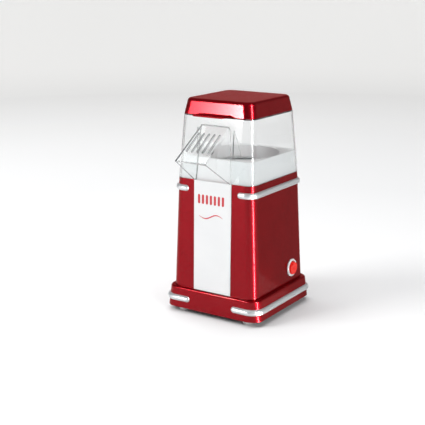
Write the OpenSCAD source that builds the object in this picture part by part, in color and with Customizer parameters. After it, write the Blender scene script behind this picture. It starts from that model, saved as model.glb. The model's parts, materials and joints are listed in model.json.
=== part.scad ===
// Hot-air popcorn maker: a tapered tower on a stepped plinth, with a clear
// lift-off hood, a pouring chute and a measuring cap.
// Z is up, the chute points to -Y and the switch is on the +X side.
// The origin is the bottom centre of the whole machine's bounding box.

/* [Heights] */
// Height of the round feet under the plinth
foot_h = 7; // [5:0.5:10]
// Height of the plinth
plinth_h = 29; // [26:1:36]
// Height of the tapered body shell
body_h = 154; // [140:1:186]
// Height of the clear hood, without its neck
hood_h = 87; // [76:1:105]
// Height of the measuring cap
cap_h = 21; // [18:1:26]

/* [Tower widths and depths] */
// Width of the plinth at its foot
plinth_w = 152; // [146:1:184]
// Depth of the plinth at its foot
plinth_d = 151; // [146:1:182]
// Ledge that the plinth leaves beside the body shell
ledge = 6; // [4:0.5:8]
// Ledge that the plinth leaves in front of and behind the body shell
front_ledge = 4; // [3.5:0.5:8]
// Inward lean of the plinth's sides over its height
plinth_lean = 2.6; // [1:0.2:4]
// Width of the tower where the hood meets the body shell
waist_w = 123; // [120:1:128]
// Depth of the tower where the hood meets the body shell
waist_d = 130; // [120:1:134]
// Width of the tower where the cap meets the hood
neck_w = 113; // [108:1:118]
// Depth of the tower where the cap meets the hood
neck_d = 115.5; // [108:0.5:119]
// Width and depth lost by the cap from its rim to its top
cap_lean = 8; // [4:0.5:12]
// Radius of the tower's upright corners
corner_r = 13; // [10:0.5:16]
// Radius of the cap's top edge
cap_edge_r = 5; // [3:0.5:7]
// Radius of the plinth's top edge
plinth_edge_r = 2.5; // [1:0.5:3]

/* [Walls] */
// Wall of the red body shell and the plinth
shell_wall = 2.5; // [2:0.1:3]
// Wall of the clear hood and the cap
hood_wall = 2; // [1.6:0.1:2.4]
// Wall of the clear chute
chute_wall = 1.8; // [1.4:0.1:2.4]
// Wall of the white collar
collar_wall = 2.2; // [1.8:0.1:2.6]
// Gap between pieces that are fitted together for good
seat_gap = 0.3; // [0.2:0.05:0.4]
// Gap around pieces that lift off
lift_gap = 0.8; // [0.5:0.1:1.2]

/* [Chute] */
// Width of the chute's roof
chute_w = 48; // [42:1:52]
// Width of the chute where its sides meet the waist
chute_foot_w = 59.2; // [54:0.2:62]
// How far the chute's lip stands out from the tower's axis
chute_reach = 116.5; // [106:0.5:130]
// Height of the chute's root above the waist
chute_root_h = 75.5; // [68:0.5:78]
// Height of the chute's lip above the waist
chute_lip_h = 35.5; // [30:0.5:42]
// Number of vent slots in the roof
slot_count = 5; // [3:1:6]
// Distance between the vent slots
slot_pitch = 8.4; // [7:0.1:8.6]
// Width of a vent slot
slot_w = 2; // [1.4:0.1:3]
// Radius of the roof's side edges at the root
roof_edge_r = 5; // [3:0.5:7]

/* [Front panel and trim] */
// Width of the white front panel
panel_w = 59.2; // [50:0.2:64]
// How far the front panel stands proud
panel_t = 1.5; // [1:0.1:2]
// Height of a silver trim band
band_h = 8.4; // [7:0.1:10]
// How far a trim band stands proud
band_proud = 3.4; // [2:0.1:4]
// Half of the gap between the upper band's tips
upper_band_tip = 39.2; // [34:0.2:42]
// Centre of the upper band below the waist
upper_band_drop = 13.2; // [10:0.2:20]
// Half of the gap between the lower band's tips
lower_band_tip = 34; // [32:0.5:42]
// Centre of the lower band above the plinth's foot
lower_band_rise = 13.4; // [10:0.2:15]

/* [Cap handle] */
// Width of the cap's handle tab
tab_w = 48; // [40:1:56]
// How far the handle tab reaches out from the cap's rim
tab_reach = 20.5; // [14:0.5:24]
// Thickness of the handle tab
tab_t = 2; // [1.6:0.1:3]

/* [Switch] */
// Diameter of the switch's hole in the shell
switch_hole_d = 22; // [18:0.1:24]
// How far the switch's bezel reaches past its hole
bezel_rim = 1.5; // [1:0.1:3]
// Gap around the round rocker
rocker_gap = 0.95; // [0.6:0.05:1.4]
// Switch centre behind the tower's axis
switch_back = 32.5; // [24:0.5:36]
// Switch centre above the plinth
switch_rise = 20; // [16:0.5:30]
// Tilt of the rocker to each side
rocker_tilt = 7; // [4:0.5:8]

/* [Cord gland] */
// Bore for the mains cord
gland_bore_d = 7.4; // [6:0.1:8]
// Outer diameter of the gland's barrel
gland_d = 12; // [11:0.2:14]
// Gland centre above the plinth
gland_rise = 16; // [12:0.5:24]

/* [Popping chamber] */
// Inner diameter of the popping chamber
chamber_d = 82; // [68:1:84]
// Depth of the popping chamber
chamber_depth = 78; // [68:1:84]
// Sheet thickness of the chamber
chamber_wall = 1; // [0.8:0.1:1.2]
// Air space between the chamber and the duct
duct_gap = 7.5; // [6:0.5:8]
// Sheet thickness of the air duct
duct_wall = 0.8; // [0.6:0.1:1]
// Height of the collar's top above the waist
collar_h = 30.5; // [26:0.5:34]
// Depth of the collar's funnel
funnel_h = 14; // [10:0.5:16]
// Number of swirl vents in the chamber
vent_count = 18; // [10:1:20]

/* [Heater, fan and motor] */
// Height of the fan housing
fan_housing_h = 34; // [30:1:38]
// Gap between the impeller's blades and the housing
blade_gap = 5; // [2:0.5:8]
// Number of impeller blades
blade_count = 7; // [5:1:9]
// Diameter of the motor
motor_d = 36; // [28:1:38]
// Length of the motor's can
motor_l = 40; // [32:1:44]
// Diameter of the motor's shaft
shaft_d = 3.2; // [3:0.1:4]
// Height of the heater's mica boards
mica_h = 26; // [22:1:28]
// Turns of the heating coil
coil_turns = 5; // [3:1:6]

/* [Feet and screws] */
// Diameter of a foot
foot_d = 15; // [12:0.5:18]
// Feet from the centre, sideways
foot_x = 52.5; // [48:0.5:56]
// Feet from the centre, front to back
foot_y = 60; // [54:0.5:62]
// Diameter of the screws' threads
screw_d = 3.5; // [3:0.1:4]

/* [Hidden] */
$fn = 64;

// Small overlap that makes cuts and unions clean
eps = 0.01;
// Length that reaches past everything
far = 400;
corner_steps = 8;
edge_steps = 5;

// Levels of the tower
plinth_z = foot_h;
body_z = plinth_z + plinth_h;
waist_z = body_z + body_h;
cap_z = waist_z + hood_h;
top_z = cap_z + cap_h;

// Foot of the body shell, inside the plinth's ledges
body_w = plinth_w - 2 * plinth_lean - 2 * ledge;
body_d = plinth_d - 2 * plinth_lean - 2 * front_ledge;

// Tower width, depth and corner radius at a height, by straight stretches
levels = [plinth_z, body_z - eps, body_z, waist_z, cap_z, top_z];
widths = [plinth_w, plinth_w - 2 * plinth_lean, body_w, waist_w, neck_w, neck_w - cap_lean];
depths = [plinth_d, plinth_d - 2 * plinth_lean, body_d, waist_d, neck_d, neck_d - cap_lean];
function at(values, z) = lookup(z, [for (i = [0:len(levels) - 1]) [levels[i], values[i]]]);

// The lower band's rear face and the chute's lip set the depth that is centred
lower_band_z = plinth_z + lower_band_rise;
upper_band_z = waist_z - upper_band_drop;
rear_reach = at(depths, lower_band_z) / 2 + band_proud;
tower_y = (chute_reach - rear_reach) / 2;

// Chute: its roof runs straight from the hood's face to the lip
chute_root_z = waist_z + chute_root_h;
chute_lip_z = waist_z + chute_lip_h;
chute_root_y = -at(depths, chute_root_z) / 2;
roof_slope = (chute_root_z - chute_lip_z) / (chute_reach + chute_root_y);
roof_angle = atan(roof_slope);
chute_foot_y = -waist_d / 2;
under_slope = (chute_lip_z - waist_z) / (chute_reach + chute_foot_y);
function roof_z(y) = chute_root_z - roof_slope * (chute_root_y - y);
function under_z(y) = waist_z + under_slope * (chute_foot_y - y);

// Switch place: on the leaning +X wall
wall_lean = atan((body_w - waist_w) / 2 / body_h);
switch_z = body_z + switch_rise;
switch_x = at(widths, switch_z) / 2;
bezel_t = 2.4;
bezel_r = switch_hole_d / 2 + bezel_rim;
barrel_l = 14;
barrel_wall = 1.2;
pivot_in = 2;
pin_r = 1.2;
fit_gap = 0.05;
blade_z = 4;
blade_w = 6.2;
blade_out = 9;

// Inner stack, from the base plate up
plate_t = 2.5;
plate_z = plinth_z + 1;
plate_top = plate_z + plate_t;
chamber_r = chamber_d / 2 + chamber_wall;
duct_r = chamber_r + duct_gap;
collar_top = waist_z + collar_h;
mouth_z = collar_top - funnel_h;
flange_t = 1;
duct_top = mouth_z - collar_wall - flange_t;
chamber_floor = mouth_z - chamber_depth;
fan_floor_t = 2.5;
shaft_r = shaft_d / 2;
mica_z = chamber_floor - chamber_wall - 4 - mica_h;
fan_top = mica_z;
fan_z = fan_top - fan_housing_h;
motor_z = fan_z - motor_l;
boss_r = 5;
screw_r = screw_d / 2;
skirt_z = waist_z - 18;
leg_r = 4.5;
leg_at = duct_r - leg_r - 3;
housing_r = duct_r - 1.5;
slot_from = 0.235;
slot_to = 0.74;
gland_z = body_z + gland_rise;

// One rounded rectangle of points at a height, counter-clockwise
function ring(w, d, r, z) = [for (q = [0:3], k = [0:corner_steps])
    let (a = 90 * (q + k / corner_steps))
    [(q == 0 || q == 3 ? 1 : -1) * (w / 2 - r) + r * cos(a),
     (q < 2 ? 1 : -1) * (d / 2 - r) + r * sin(a), z]];

// Tower outline at a height, moved in by inset (out if negative)
function tower_ring(z, inset = 0, more_r = 0) =
    ring(at(widths, z) - 2 * inset, at(depths, z) - 2 * inset, corner_r + more_r - inset, z);

// The same at height z, but drawn at another height
function lifted(points, z) = [for (p = points) [p.x, p.y, z]];

// Solid between rings that have the same number of points
// Its sides are flat quads, or triangles where the rings twist them
module loft(rings, twisted = false) {
    n = len(rings[0]);
    last = (len(rings) - 1) * n;
    quads = [for (k = [0:len(rings) - 2], i = [0:n - 1])
        [k * n + i, (k + 1) * n + i, (k + 1) * n + (i + 1) % n, k * n + (i + 1) % n]];
    halves = [for (q = quads) each [[q[0], q[1], q[2]], [q[0], q[2], q[3]]]];
    polyhedron(
        points = [for (r = rings) each r],
        faces = concat(
            [[for (i = [0:n - 1]) i]],
            twisted ? halves : quads,
            [[for (i = [n - 1:-1:0]) last + i]]));
}

// Places what is drawn about the tower's axis in the machine's frame
module on_tower() {
    translate([0, tower_y, 0]) children();
}

// Mirrors a copy to the other side of the middle plane
module both_sides() {
    children();
    mirror([1, 0, 0]) children();
}

// Copies on the four feet's places
module at_feet() {
    for (x = [-foot_x, foot_x], y = [-foot_y, foot_y]) translate([x, y, 0]) children();
}

// Copies in a circle about the tower's axis
module around(count, radius, start = 0) {
    for (i = [0:count - 1]) rotate([0, 0, start + 360 * i / count]) translate([radius, 0, 0]) children();
}

// Flat slot with round ends, along Y from y0 to y1
module slot(y0, y1, w) {
    translate([-w / 2, y0 + w / 2]) square([w, y1 - y0 - w]);
    for (y = [y0 + w / 2, y1 - w / 2]) translate([0, y]) circle(d = w, $fn = 24);
}

// Measuring cap: a shallow cup, upside down, with a handle tab in front
module cap_outside(inset) {
    edge = max(cap_edge_r - inset, 1);
    loft(concat(
        [tower_ring(cap_z, inset)],
        [for (k = [0:edge_steps])
            let (a = 90 * k / edge_steps, level = top_z - inset - edge + edge * sin(a))
            lifted(tower_ring(top_z - inset - edge, inset + edge * (1 - cos(a))), level)]));
}
module cap_tab() {
    tab_z = cap_z + 1;
    root_y = -at(depths, cap_z) / 2 + hood_wall / 2;
    tip_y = -at(depths, cap_z) / 2 - tab_reach;
    round_r = 3;
    translate([0, 0, tab_z]) linear_extrude(tab_t) {
        translate([-tab_w / 2, tip_y + round_r]) square([tab_w, root_y - tip_y - round_r]);
        translate([-tab_w / 2 + round_r, tip_y]) square([tab_w - 2 * round_r, round_r + eps]);
        for (x = [-1, 1]) translate([x * (tab_w / 2 - round_r), tip_y + round_r]) circle(round_r);
    }
}
module measuring_cap() {
    color("#a01020") on_tower() {
        difference() {
            cap_outside(0);
            translate([0, 0, -eps]) cap_outside(hood_wall);
        }
        cap_tab();
    }
}

// Clear hood: tapered walls, a shoulder for the cap and a neck inside the cap
neck_h = cap_h / 2;
shoulder_t = 1.6;
neck_wall = 1.6;
neck_inset = hood_wall + lift_gap;
guide_t = 1.5;
guide_gap = 3;
guide_depth = 21;
module hood_walls() {
    difference() {
        loft([tower_ring(waist_z), tower_ring(cap_z)]);
        loft([lifted(tower_ring(waist_z, hood_wall), waist_z - eps),
              tower_ring(cap_z - shoulder_t, hood_wall)]);
        loft([lifted(tower_ring(cap_z, neck_inset + neck_wall), cap_z - shoulder_t - eps),
              lifted(tower_ring(cap_z, neck_inset + neck_wall), cap_z + eps)]);
        chute_inside();
    }
}
module hood_neck() {
    difference() {
        loft([lifted(tower_ring(cap_z, neck_inset), cap_z - shoulder_t / 2),
              tower_ring(cap_z, neck_inset), tower_ring(cap_z + neck_h, neck_inset)]);
        loft([lifted(tower_ring(cap_z, neck_inset + neck_wall), cap_z - shoulder_t),
              tower_ring(cap_z, neck_inset + neck_wall),
              lifted(tower_ring(cap_z + neck_h, neck_inset + neck_wall), cap_z + neck_h + eps)]);
    }
}
module chute_guide() {
    low = collar_top + guide_gap;
    high = chute_root_z - roof_edge_r;
    function face_y(z) = -at(depths, z) / 2 + hood_wall / 2;
    translate([chute_foot_w / 2 - guide_t, 0, 0])
        rotate([90, 0, 90])
        linear_extrude(guide_t)
        polygon([[face_y(low), low], [face_y(low) + guide_depth, low], [face_y(high) + 2, high],
                 [face_y(high), high]]);
}
module hood() {
    color("#dfe8ec", 0.35) on_tower() {
        hood_walls();
        hood_neck();
        both_sides() chute_guide();
    }
}

// Clear chute: a roof with vent slots and two side walls, open below
lip_t = 1.2;
open_below = 12;
// Outline across the chute at depth y: foot, side, round roof edge, and mirrored
function chute_ring(y, inset, drop) =
    let (share = (chute_root_y - y) / (chute_reach + chute_root_y),
         r = max(roof_edge_r * (1 - share) - inset, 0.4),
         top = roof_z(y) - inset / cos(roof_angle),
         low = under_z(y) - drop,
         flare = (chute_foot_w - chute_w) / 2 / (chute_root_z - waist_z),
         half_top = chute_w / 2 - inset,
         half_low = half_top + flare * (top - low),
         side = [for (k = [0:4]) let (a = 90 * k / 4)
             [half_top - r + r * cos(a), y, top - r + r * sin(a)]])
    concat([[half_low, y, low]], side, [for (k = [4:-1:0]) [-side[k].x, y, side[k].z]],
           [[-half_low, y, low]]);
module chute_outside() {
    loft([chute_ring(chute_root_y + hood_wall + 8, 0, lip_t), chute_ring(-chute_reach, 0, lip_t)],
        twisted = true);
}
module chute_inside() {
    loft([chute_ring(chute_root_y + hood_wall + 6, chute_wall, open_below),
          chute_ring(-chute_reach + chute_wall, chute_wall, open_below)], twisted = true);
}
module roof_slots() {
    roof_l = (chute_reach + chute_root_y) / cos(roof_angle);
    for (i = [0:slot_count - 1])
        translate([(i - (slot_count - 1) / 2) * slot_pitch, chute_root_y, chute_root_z])
            rotate([roof_angle, 0, 0])
            translate([0, 0, -chute_wall - 2])
            linear_extrude(chute_wall + 4)
            slot(-roof_l * slot_to, -roof_l * slot_from, slot_w);
}
module chute() {
    color("#dfe8ec", 0.35) on_tower() difference() {
        chute_outside();
        chute_inside();
        loft([lifted(tower_ring(waist_z), waist_z), tower_ring(cap_z)]);
        translate([-far / 2, -far / 2, waist_z - far]) cube([far, far, far]);
        roof_slots();
    }
}

// White collar: the rim inside the hood, with a funnel to the chamber's mouth
collar_inset = max(hood_wall + lift_gap, shell_wall + seat_gap);
function collar_rings(extra, low, high) = [
    lifted(tower_ring(skirt_z, collar_inset + extra), low),
    tower_ring(waist_z, collar_inset + extra),
    lifted(tower_ring(collar_top, collar_inset + extra), high)];
funnel_top_r = min(at(widths, collar_top), at(depths, collar_top)) / 2 - collar_inset - collar_wall;
module funnel() {
    rotate_extrude($fn = 96) polygon([
        [chamber_d / 2, mouth_z - collar_wall], [duct_r - 2, mouth_z - collar_wall],
        [funnel_top_r + 0.5, collar_top - collar_wall - 0.5], [funnel_top_r + 0.5, collar_top],
        [funnel_top_r, collar_top], [chamber_d / 2, mouth_z]]);
}
module collar() {
    color("#f2f2ee") on_tower() {
        difference() {
            loft(collar_rings(0, skirt_z, collar_top));
            loft(collar_rings(collar_wall, skirt_z - eps, collar_top - collar_wall));
            cylinder(h = far, r = funnel_top_r, $fn = 96);
        }
        funnel();
    }
}

// White front panel: a plate on the shell's front, with four locating pegs
peg_r = 2;
peg_l = shell_wall + 1;
peg_x = panel_w / 2 - 8;
peg_rise = 14;
function shell_front(z) = -at(depths, z) / 2;
module at_pegs() {
    for (x = [-peg_x, peg_x], z = [body_z + peg_rise, skirt_z - peg_rise])
        translate([x, shell_front(z), z]) children();
}
module front_panel() {
    low = body_z + seat_gap;
    color("#f4f4f2") on_tower() {
        translate([-panel_w / 2, 0, 0])
            rotate([90, 0, 90])
            linear_extrude(panel_w)
            polygon([[shell_front(low), low], [shell_front(waist_z), waist_z],
                     [shell_front(waist_z) - panel_t, waist_z], [shell_front(low) - panel_t, low]]);
        at_pegs() translate([0, -panel_t / 2, 0])
            rotate([-90, 0, 0]) cylinder(h = peg_l + panel_t / 2, r = peg_r, $fn = 32);
    }
}

// Red body shell: four leaning walls, a ledge for the collar and the holes
module shell_walls() {
    difference() {
        loft([tower_ring(body_z), tower_ring(waist_z)]);
        loft([lifted(tower_ring(body_z, shell_wall), body_z - eps),
              lifted(tower_ring(waist_z, shell_wall), waist_z + eps)]);
    }
}
module collar_ledge() {
    ledge_t = 2.5;
    difference() {
        loft([tower_ring(skirt_z - ledge_t, shell_wall - 0.5), tower_ring(skirt_z, shell_wall - 0.5)]);
        loft([lifted(tower_ring(skirt_z, shell_wall + 3), skirt_z - ledge_t - eps),
              lifted(tower_ring(skirt_z, shell_wall + 3), skirt_z + eps)]);
    }
}
module body_shell() {
    color("#a01020") on_tower() difference() {
        union() {
            shell_walls();
            collar_ledge();
        }
        at_switch() along_x(40, switch_hole_d / 2, -20);
        at_gland() cube([gland_d + 2 * seat_gap, 40, gland_d + 2 * seat_gap], center = true);
        at_pegs() translate([0, -1, 0])
            rotate([-90, 0, 0]) cylinder(h = peg_l + 3, r = peg_r + 0.1, $fn = 32);
    }
}

// Red plinth: leaning skirt, rounded shoulder, a rib that locates the shell,
// and bosses for the foot screws
opening_inset = shell_wall + seat_gap;
rib_h = 4;
boss_l = 14;
plinth_more_r = ledge / 2;
module plinth_skin(inset, low, high, edge) {
    loft(concat(
        [lifted(tower_ring(plinth_z, inset, plinth_more_r), low)],
        [for (k = [0:edge_steps])
            let (a = 90 * k / edge_steps, more = edge * (1 - cos(a)))
            lifted(tower_ring(body_z - plinth_edge_r, inset + more, plinth_more_r),
                   high - edge + edge * sin(a))]));
}
module plinth() {
    color("#a01020") on_tower() {
        difference() {
            plinth_skin(0, plinth_z, body_z, plinth_edge_r);
            plinth_skin(shell_wall, plinth_z - eps, body_z - shell_wall, plinth_edge_r / 2);
            loft([lifted(tower_ring(body_z, opening_inset + 2), body_z - shell_wall - 1),
                  lifted(tower_ring(body_z, opening_inset + 2), body_z + eps)]);
        }
        difference() {
            loft([lifted(tower_ring(body_z, opening_inset), body_z - shell_wall),
                  lifted(tower_ring(body_z + rib_h, opening_inset), body_z + rib_h)]);
            loft([lifted(tower_ring(body_z, opening_inset + 2), body_z - shell_wall - eps),
                  lifted(tower_ring(body_z + rib_h, opening_inset + 2), body_z + rib_h + eps)]);
        }
        at_feet() foot_boss();
    }
}
module foot_boss() {
    difference() {
        translate([0, 0, plate_top + seat_gap])
            cylinder(h = body_z - shell_wall / 2 - plate_top - seat_gap, r = boss_r);
        cylinder(h = plate_top + boss_l, r = screw_r + fit_gap, $fn = 32);
    }
}

// Silver trim bands: half-round, around the back and both sides, with round tips
band_edge = 0.5;
module trim_band(z, tip, more_r = 0) {
    half = band_h / 2;
    steps = 10;
    color("#c8c8c8") on_tower() difference() {
        loft([for (k = [0:steps])
            let (a = -90 + 180 * k / steps, level = z + half * sin(a))
            tower_ring(level, -max(band_proud * cos(a), band_edge), more_r)]);
        loft([tower_ring(z - band_h, 0, more_r), tower_ring(z + band_h, 0, more_r)]);
        rotate([90, 0, 0]) linear_extrude(far) difference() {
            translate([-tip - half, z - band_h]) square([2 * (tip + half), 2 * band_h]);
            for (x = [-1, 1]) translate([x * (tip + half), z]) circle(half + 0.2);
        }
    }
}
module upper_trim_band() {
    trim_band(upper_band_z, upper_band_tip);
}
module lower_trim_band() {
    trim_band(lower_band_z, lower_band_tip, plinth_more_r);
}

// Round rocker switch on the +X wall; local X points out of the wall
module at_switch() {
    translate([switch_x, switch_back, switch_z]) rotate([0, -wall_lean, 0]) children();
}
module along_x(h, r, from = 0) {
    translate([from, 0, 0]) rotate([0, 90, 0]) cylinder(h = h, r = r);
}
barrel_r = switch_hole_d / 2 - seat_gap / 2;
cavity_r = barrel_r - barrel_wall;
rocker_r = cavity_r - rocker_gap;
module switch_housing() {
    color("#f4f4f2") on_tower() at_switch() difference() {
        union() {
            along_x(bezel_t / 2, bezel_r);
            translate([bezel_t / 2, 0, 0]) rotate([0, 90, 0])
                cylinder(h = bezel_t / 2, r1 = bezel_r, r2 = bezel_r - bezel_rim / 2);
            along_x(barrel_l + eps, barrel_r, -barrel_l);
        }
        along_x(barrel_l + bezel_t, cavity_r, -barrel_l + 2);
        translate([-pivot_in, 0, 0]) rotate([90, 0, 0])
            cylinder(h = 2 * barrel_r + 2, r = pin_r + fit_gap, center = true, $fn = 32);
        for (z = [-blade_z, blade_z])
            translate([-barrel_l - 1, -blade_w / 2 - 0.3, z - 0.6]) cube([4, blade_w + 0.6, 1.2]);
    }
}
// Rocker: a disc with a hollowed face and a keel, at rest tilted to the off side
module switch_rocker() {
    face = bezel_t + 2.6 + pivot_in;
    hollow = 1.6;
    keel = 3.4;
    color("#e01818") on_tower() at_switch() translate([-pivot_in, 0, 0]) rotate([0, rocker_tilt, 0])
        difference() {
            intersection() {
                along_x(face + 6, rocker_r, -4);
                rotate([90, 0, 0]) linear_extrude(2 * rocker_r + 2, center = true) polygon([
                    [-keel, -3], [-0.8, -rocker_r], [face, -rocker_r], [face - hollow, 0],
                    [face, rocker_r], [-0.8, rocker_r], [-keel, 3]]);
            }
            rotate([90, 0, 0]) cylinder(h = 2 * rocker_r + 4, r = pin_r + fit_gap, center = true, $fn = 32);
        }
}
module switch_pin() {
    color("silver") on_tower() at_switch() translate([-pivot_in, 0, 0]) rotate([90, 0, 0])
        cylinder(h = 2 * barrel_r - 0.4, r = pin_r, center = true, $fn = 32);
}
module switch_terminals() {
    color("#c8a040") on_tower() at_switch() for (z = [-blade_z, blade_z])
        translate([-barrel_l - blade_out, -blade_w / 2, z - 0.4])
        cube([blade_out + 3.5, blade_w, 0.8]);
}

// Cord gland in the rear wall: a square bush, so that it can't turn, with a round
// flange outside, a catch inside and a bore for the mains cord
gland_y = at(depths, gland_z) / 2;
gland_in = 8;
gland_out = 3;
flange_r = gland_d / 2 + 4;
catch_t = 1.8;
module at_gland() {
    translate([0, gland_y, gland_z]) children();
}
module cord_gland() {
    inside = shell_wall + seat_gap + 0.4;
    color("#202020") on_tower() at_gland() rotate([-90, 0, 0]) difference() {
        union() {
            translate([-gland_d / 2, -gland_d / 2, -gland_in])
                cube([gland_d, gland_d, gland_in + gland_out]);
            translate([0, 0, 0.5]) cylinder(h = gland_out - 0.5, r = flange_r);
            translate([0, 0, -inside - catch_t]) cylinder(h = catch_t, r = flange_r - 0.5);
        }
        translate([0, 0, -gland_in - 1]) cylinder(h = gland_in + gland_out + 2, d = gland_bore_d);
    }
}

// Base plate inside the plinth, with the air intake's slots
module base_plate() {
    clear = shell_wall + seat_gap;
    slots = 9;
    pitch = 7;
    half_l = 26;
    color("#303030") on_tower() difference() {
        translate([0, 0, plate_z]) linear_extrude(plate_t) plate_outline(clear);
        translate([0, 0, plate_z - 1]) linear_extrude(plate_t + 2)
            for (i = [0:slots - 1])
                translate([(i - (slots - 1) / 2) * pitch, 0]) slot(-half_l, half_l, pitch / 2);
        at_feet() plate_screw_hole();
        at_legs() plate_screw_hole();
    }
}
module plate_screw_hole() {
    translate([0, 0, plate_z - 1]) cylinder(h = plate_t + 2, r = screw_r + 0.2, $fn = 32);
}
module plate_outline(inset) {
    w = at(widths, plate_top) - 2 * inset;
    d = at(depths, plate_top) - 2 * inset;
    r = corner_r + ledge / 2 - inset;
    square([w - 2 * r, d], center = true);
    square([w, d - 2 * r], center = true);
    for (x = [-1, 1], y = [-1, 1]) translate([x * (w / 2 - r), y * (d / 2 - r)]) circle(r);
}

// Feet, each held by a screw that goes up through the plate into a boss
head_r = screw_d;
head_t = 2.4;
module feet() {
    color("#f0f0ee") on_tower() at_feet() difference() {
        union() {
            cylinder(h = 1, d1 = foot_d - 1.6, d2 = foot_d);
            translate([0, 0, 1]) cylinder(h = plate_z - 1, d = foot_d);
        }
        translate([0, 0, -1]) cylinder(h = 1 + foot_h / 2, r = head_r + 0.3, $fn = 32);
        cylinder(h = plate_z + 1, r = screw_r + 0.2, $fn = 32);
    }
}
module foot_screws() {
    color("silver") on_tower() at_feet() {
        translate([0, 0, foot_h / 2 - head_t]) cylinder(h = head_t, r = head_r, $fn = 32);
        translate([0, 0, foot_h / 2 - eps])
            cylinder(h = plate_top + boss_l - 3 - foot_h / 2, r = screw_r, $fn = 32);
    }
}

// Popping chamber: a deep cup with swirl vents above its floor and a flange
cone_r = chamber_d / 2 - 14;
cone_h = 6;
vent_w = 1.2;
vent_h = 5;
module popping_chamber() {
    color("#c0c0c4") on_tower() difference() {
        rotate_extrude($fn = 96) polygon([
            [0, chamber_floor + cone_h], [cone_r, chamber_floor],
            [chamber_d / 2, chamber_floor], [chamber_d / 2, duct_top + flange_t],
            [duct_r + duct_wall, duct_top + flange_t], [duct_r + duct_wall, duct_top],
            [chamber_r, duct_top], [chamber_r, chamber_floor - chamber_wall],
            [cone_r, chamber_floor - chamber_wall], [0, chamber_floor + cone_h - chamber_wall]]);
        around(vent_count, chamber_d / 2 + chamber_wall / 2)
            translate([0, 0, chamber_floor + 4]) rotate([0, 0, 45])
            cube([4 * chamber_wall + 6, vent_w, vent_h], center = true);
    }
}

// Air duct: the sheet-metal tube that leads the air around the chamber
module air_duct() {
    color("#a8a8ac") on_tower() difference() {
        translate([0, 0, fan_top]) cylinder(h = duct_top - fan_top, r = duct_r + duct_wall, $fn = 96);
        translate([0, 0, fan_top - 1]) cylinder(h = duct_top - fan_top + 2, r = duct_r, $fn = 96);
    }
}

// Heater: two crossed mica boards with notches, and coil turns in the notches
coil_r = chamber_d / 2 - 8;
wire_r = 0.7;
mica_t = 1.2;
coil_pitch = (mica_h - 6) / (coil_turns - 1);
function turn_z(i) = mica_z + 3 + i * coil_pitch;
module mica_board() {
    w = 2 * (duct_r - seat_gap);
    translate([-w / 2, -mica_t / 2, mica_z]) cube([w, mica_t, mica_h]);
}
module heater_frame() {
    color("#d8d0b0") on_tower() difference() {
        union() {
            mica_board();
            rotate([0, 0, 90]) mica_board();
        }
        for (i = [0:coil_turns - 1]) translate([0, 0, turn_z(i)])
            rotate_extrude($fn = 72) translate([coil_r, 0]) circle(wire_r + 0.1, $fn = 24);
    }
}
module heater_coil() {
    color("#908880") on_tower() for (i = [0:coil_turns - 1])
        translate([0, 0, turn_z(i)])
        rotate_extrude($fn = 72) translate([coil_r, 0]) circle(wire_r, $fn = 24);
}

// Thermostat on a saddle outside the duct, and the thermal fuse beside it
saddle_r = duct_r + duct_wall;
module on_duct(angle, z) {
    translate([0, 0, z]) rotate([0, 0, angle]) children();
}
module thermostat() {
    color("#b0b0b0") on_tower() on_duct(45, chamber_floor + 24) difference() {
        union() {
            translate([saddle_r - 1, -9, -6]) cube([3, 18, 12]);
            along_x(5, 7, saddle_r + 2 - eps);
        }
        translate([0, 0, -10]) cylinder(h = 20, r = saddle_r + 0.02, $fn = 96);
    }
}
module thermal_fuse() {
    color("#e8e0d0") on_tower() on_duct(135, chamber_floor + 20) translate([saddle_r + 2.1, 0, -8])
        cylinder(h = 16, r = 2, $fn = 32);
}

// Fan housing: a ring around the impeller, a spoked floor for the motor, and legs
hub_r = motor_d / 2 + 4;
spoke_w = 7;
module at_legs() {
    around(4, leg_at, 45) children();
}
module fan_housing() {
    color("#383838") on_tower() difference() {
        union() {
            difference() {
                translate([0, 0, fan_z]) cylinder(h = fan_housing_h, r = duct_r + duct_wall, $fn = 96);
                translate([0, 0, fan_z - 1]) cylinder(h = fan_housing_h + 2, r = housing_r, $fn = 96);
            }
            translate([0, 0, fan_z]) cylinder(h = fan_floor_t, r = hub_r);
            for (a = [0, 90]) rotate([0, 0, a + 45])
                translate([-housing_r - 1, -spoke_w / 2, fan_z])
                cube([2 * housing_r + 2, spoke_w, fan_floor_t]);
            at_legs() translate([0, 0, plate_top])
                cylinder(h = fan_z + fan_floor_t - plate_top, r = leg_r);
        }
        translate([0, 0, fan_z - 1]) cylinder(h = fan_floor_t + 2, r = bush_r + 0.5, $fn = 32);
        at_legs() translate([0, 0, plate_top - 1]) cylinder(h = 14, r = screw_r + fit_gap, $fn = 32);
        around(2, motor_d / 3) translate([0, 0, fan_z - 1])
            cylinder(h = fan_floor_t + 2, r = motor_screw_r + 0.2, $fn = 32);
    }
}
module housing_screws() {
    color("silver") on_tower() at_legs() {
        translate([0, 0, plate_z - head_t]) cylinder(h = head_t, r = head_r, $fn = 32);
        translate([0, 0, plate_z - eps]) cylinder(h = plate_t + 11, r = screw_r, $fn = 32);
    }
}

// Impeller: a hub, pitched blades and the bore for the shaft
impeller_z = fan_z + fan_floor_t + 6;
impeller_h = 12;
impeller_hub_r = 8;
blade_pitch = 38;
blade_chord = 16;
blade_t = 1.6;
module impeller() {
    color("#e8e8e0") on_tower() translate([0, 0, impeller_z]) difference() {
        union() {
            cylinder(h = impeller_h, r = impeller_hub_r);
            around(blade_count, impeller_hub_r - 1)
                translate([0, 0, impeller_h / 2]) rotate([blade_pitch, 0, 0])
                translate([0, -blade_chord / 2, -blade_t / 2])
                cube([housing_r - blade_gap - impeller_hub_r, blade_chord, blade_t]);
        }
        translate([0, 0, -1]) cylinder(h = impeller_h + 2, r = shaft_r + fit_gap / 2, $fn = 32);
    }
}

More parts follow.
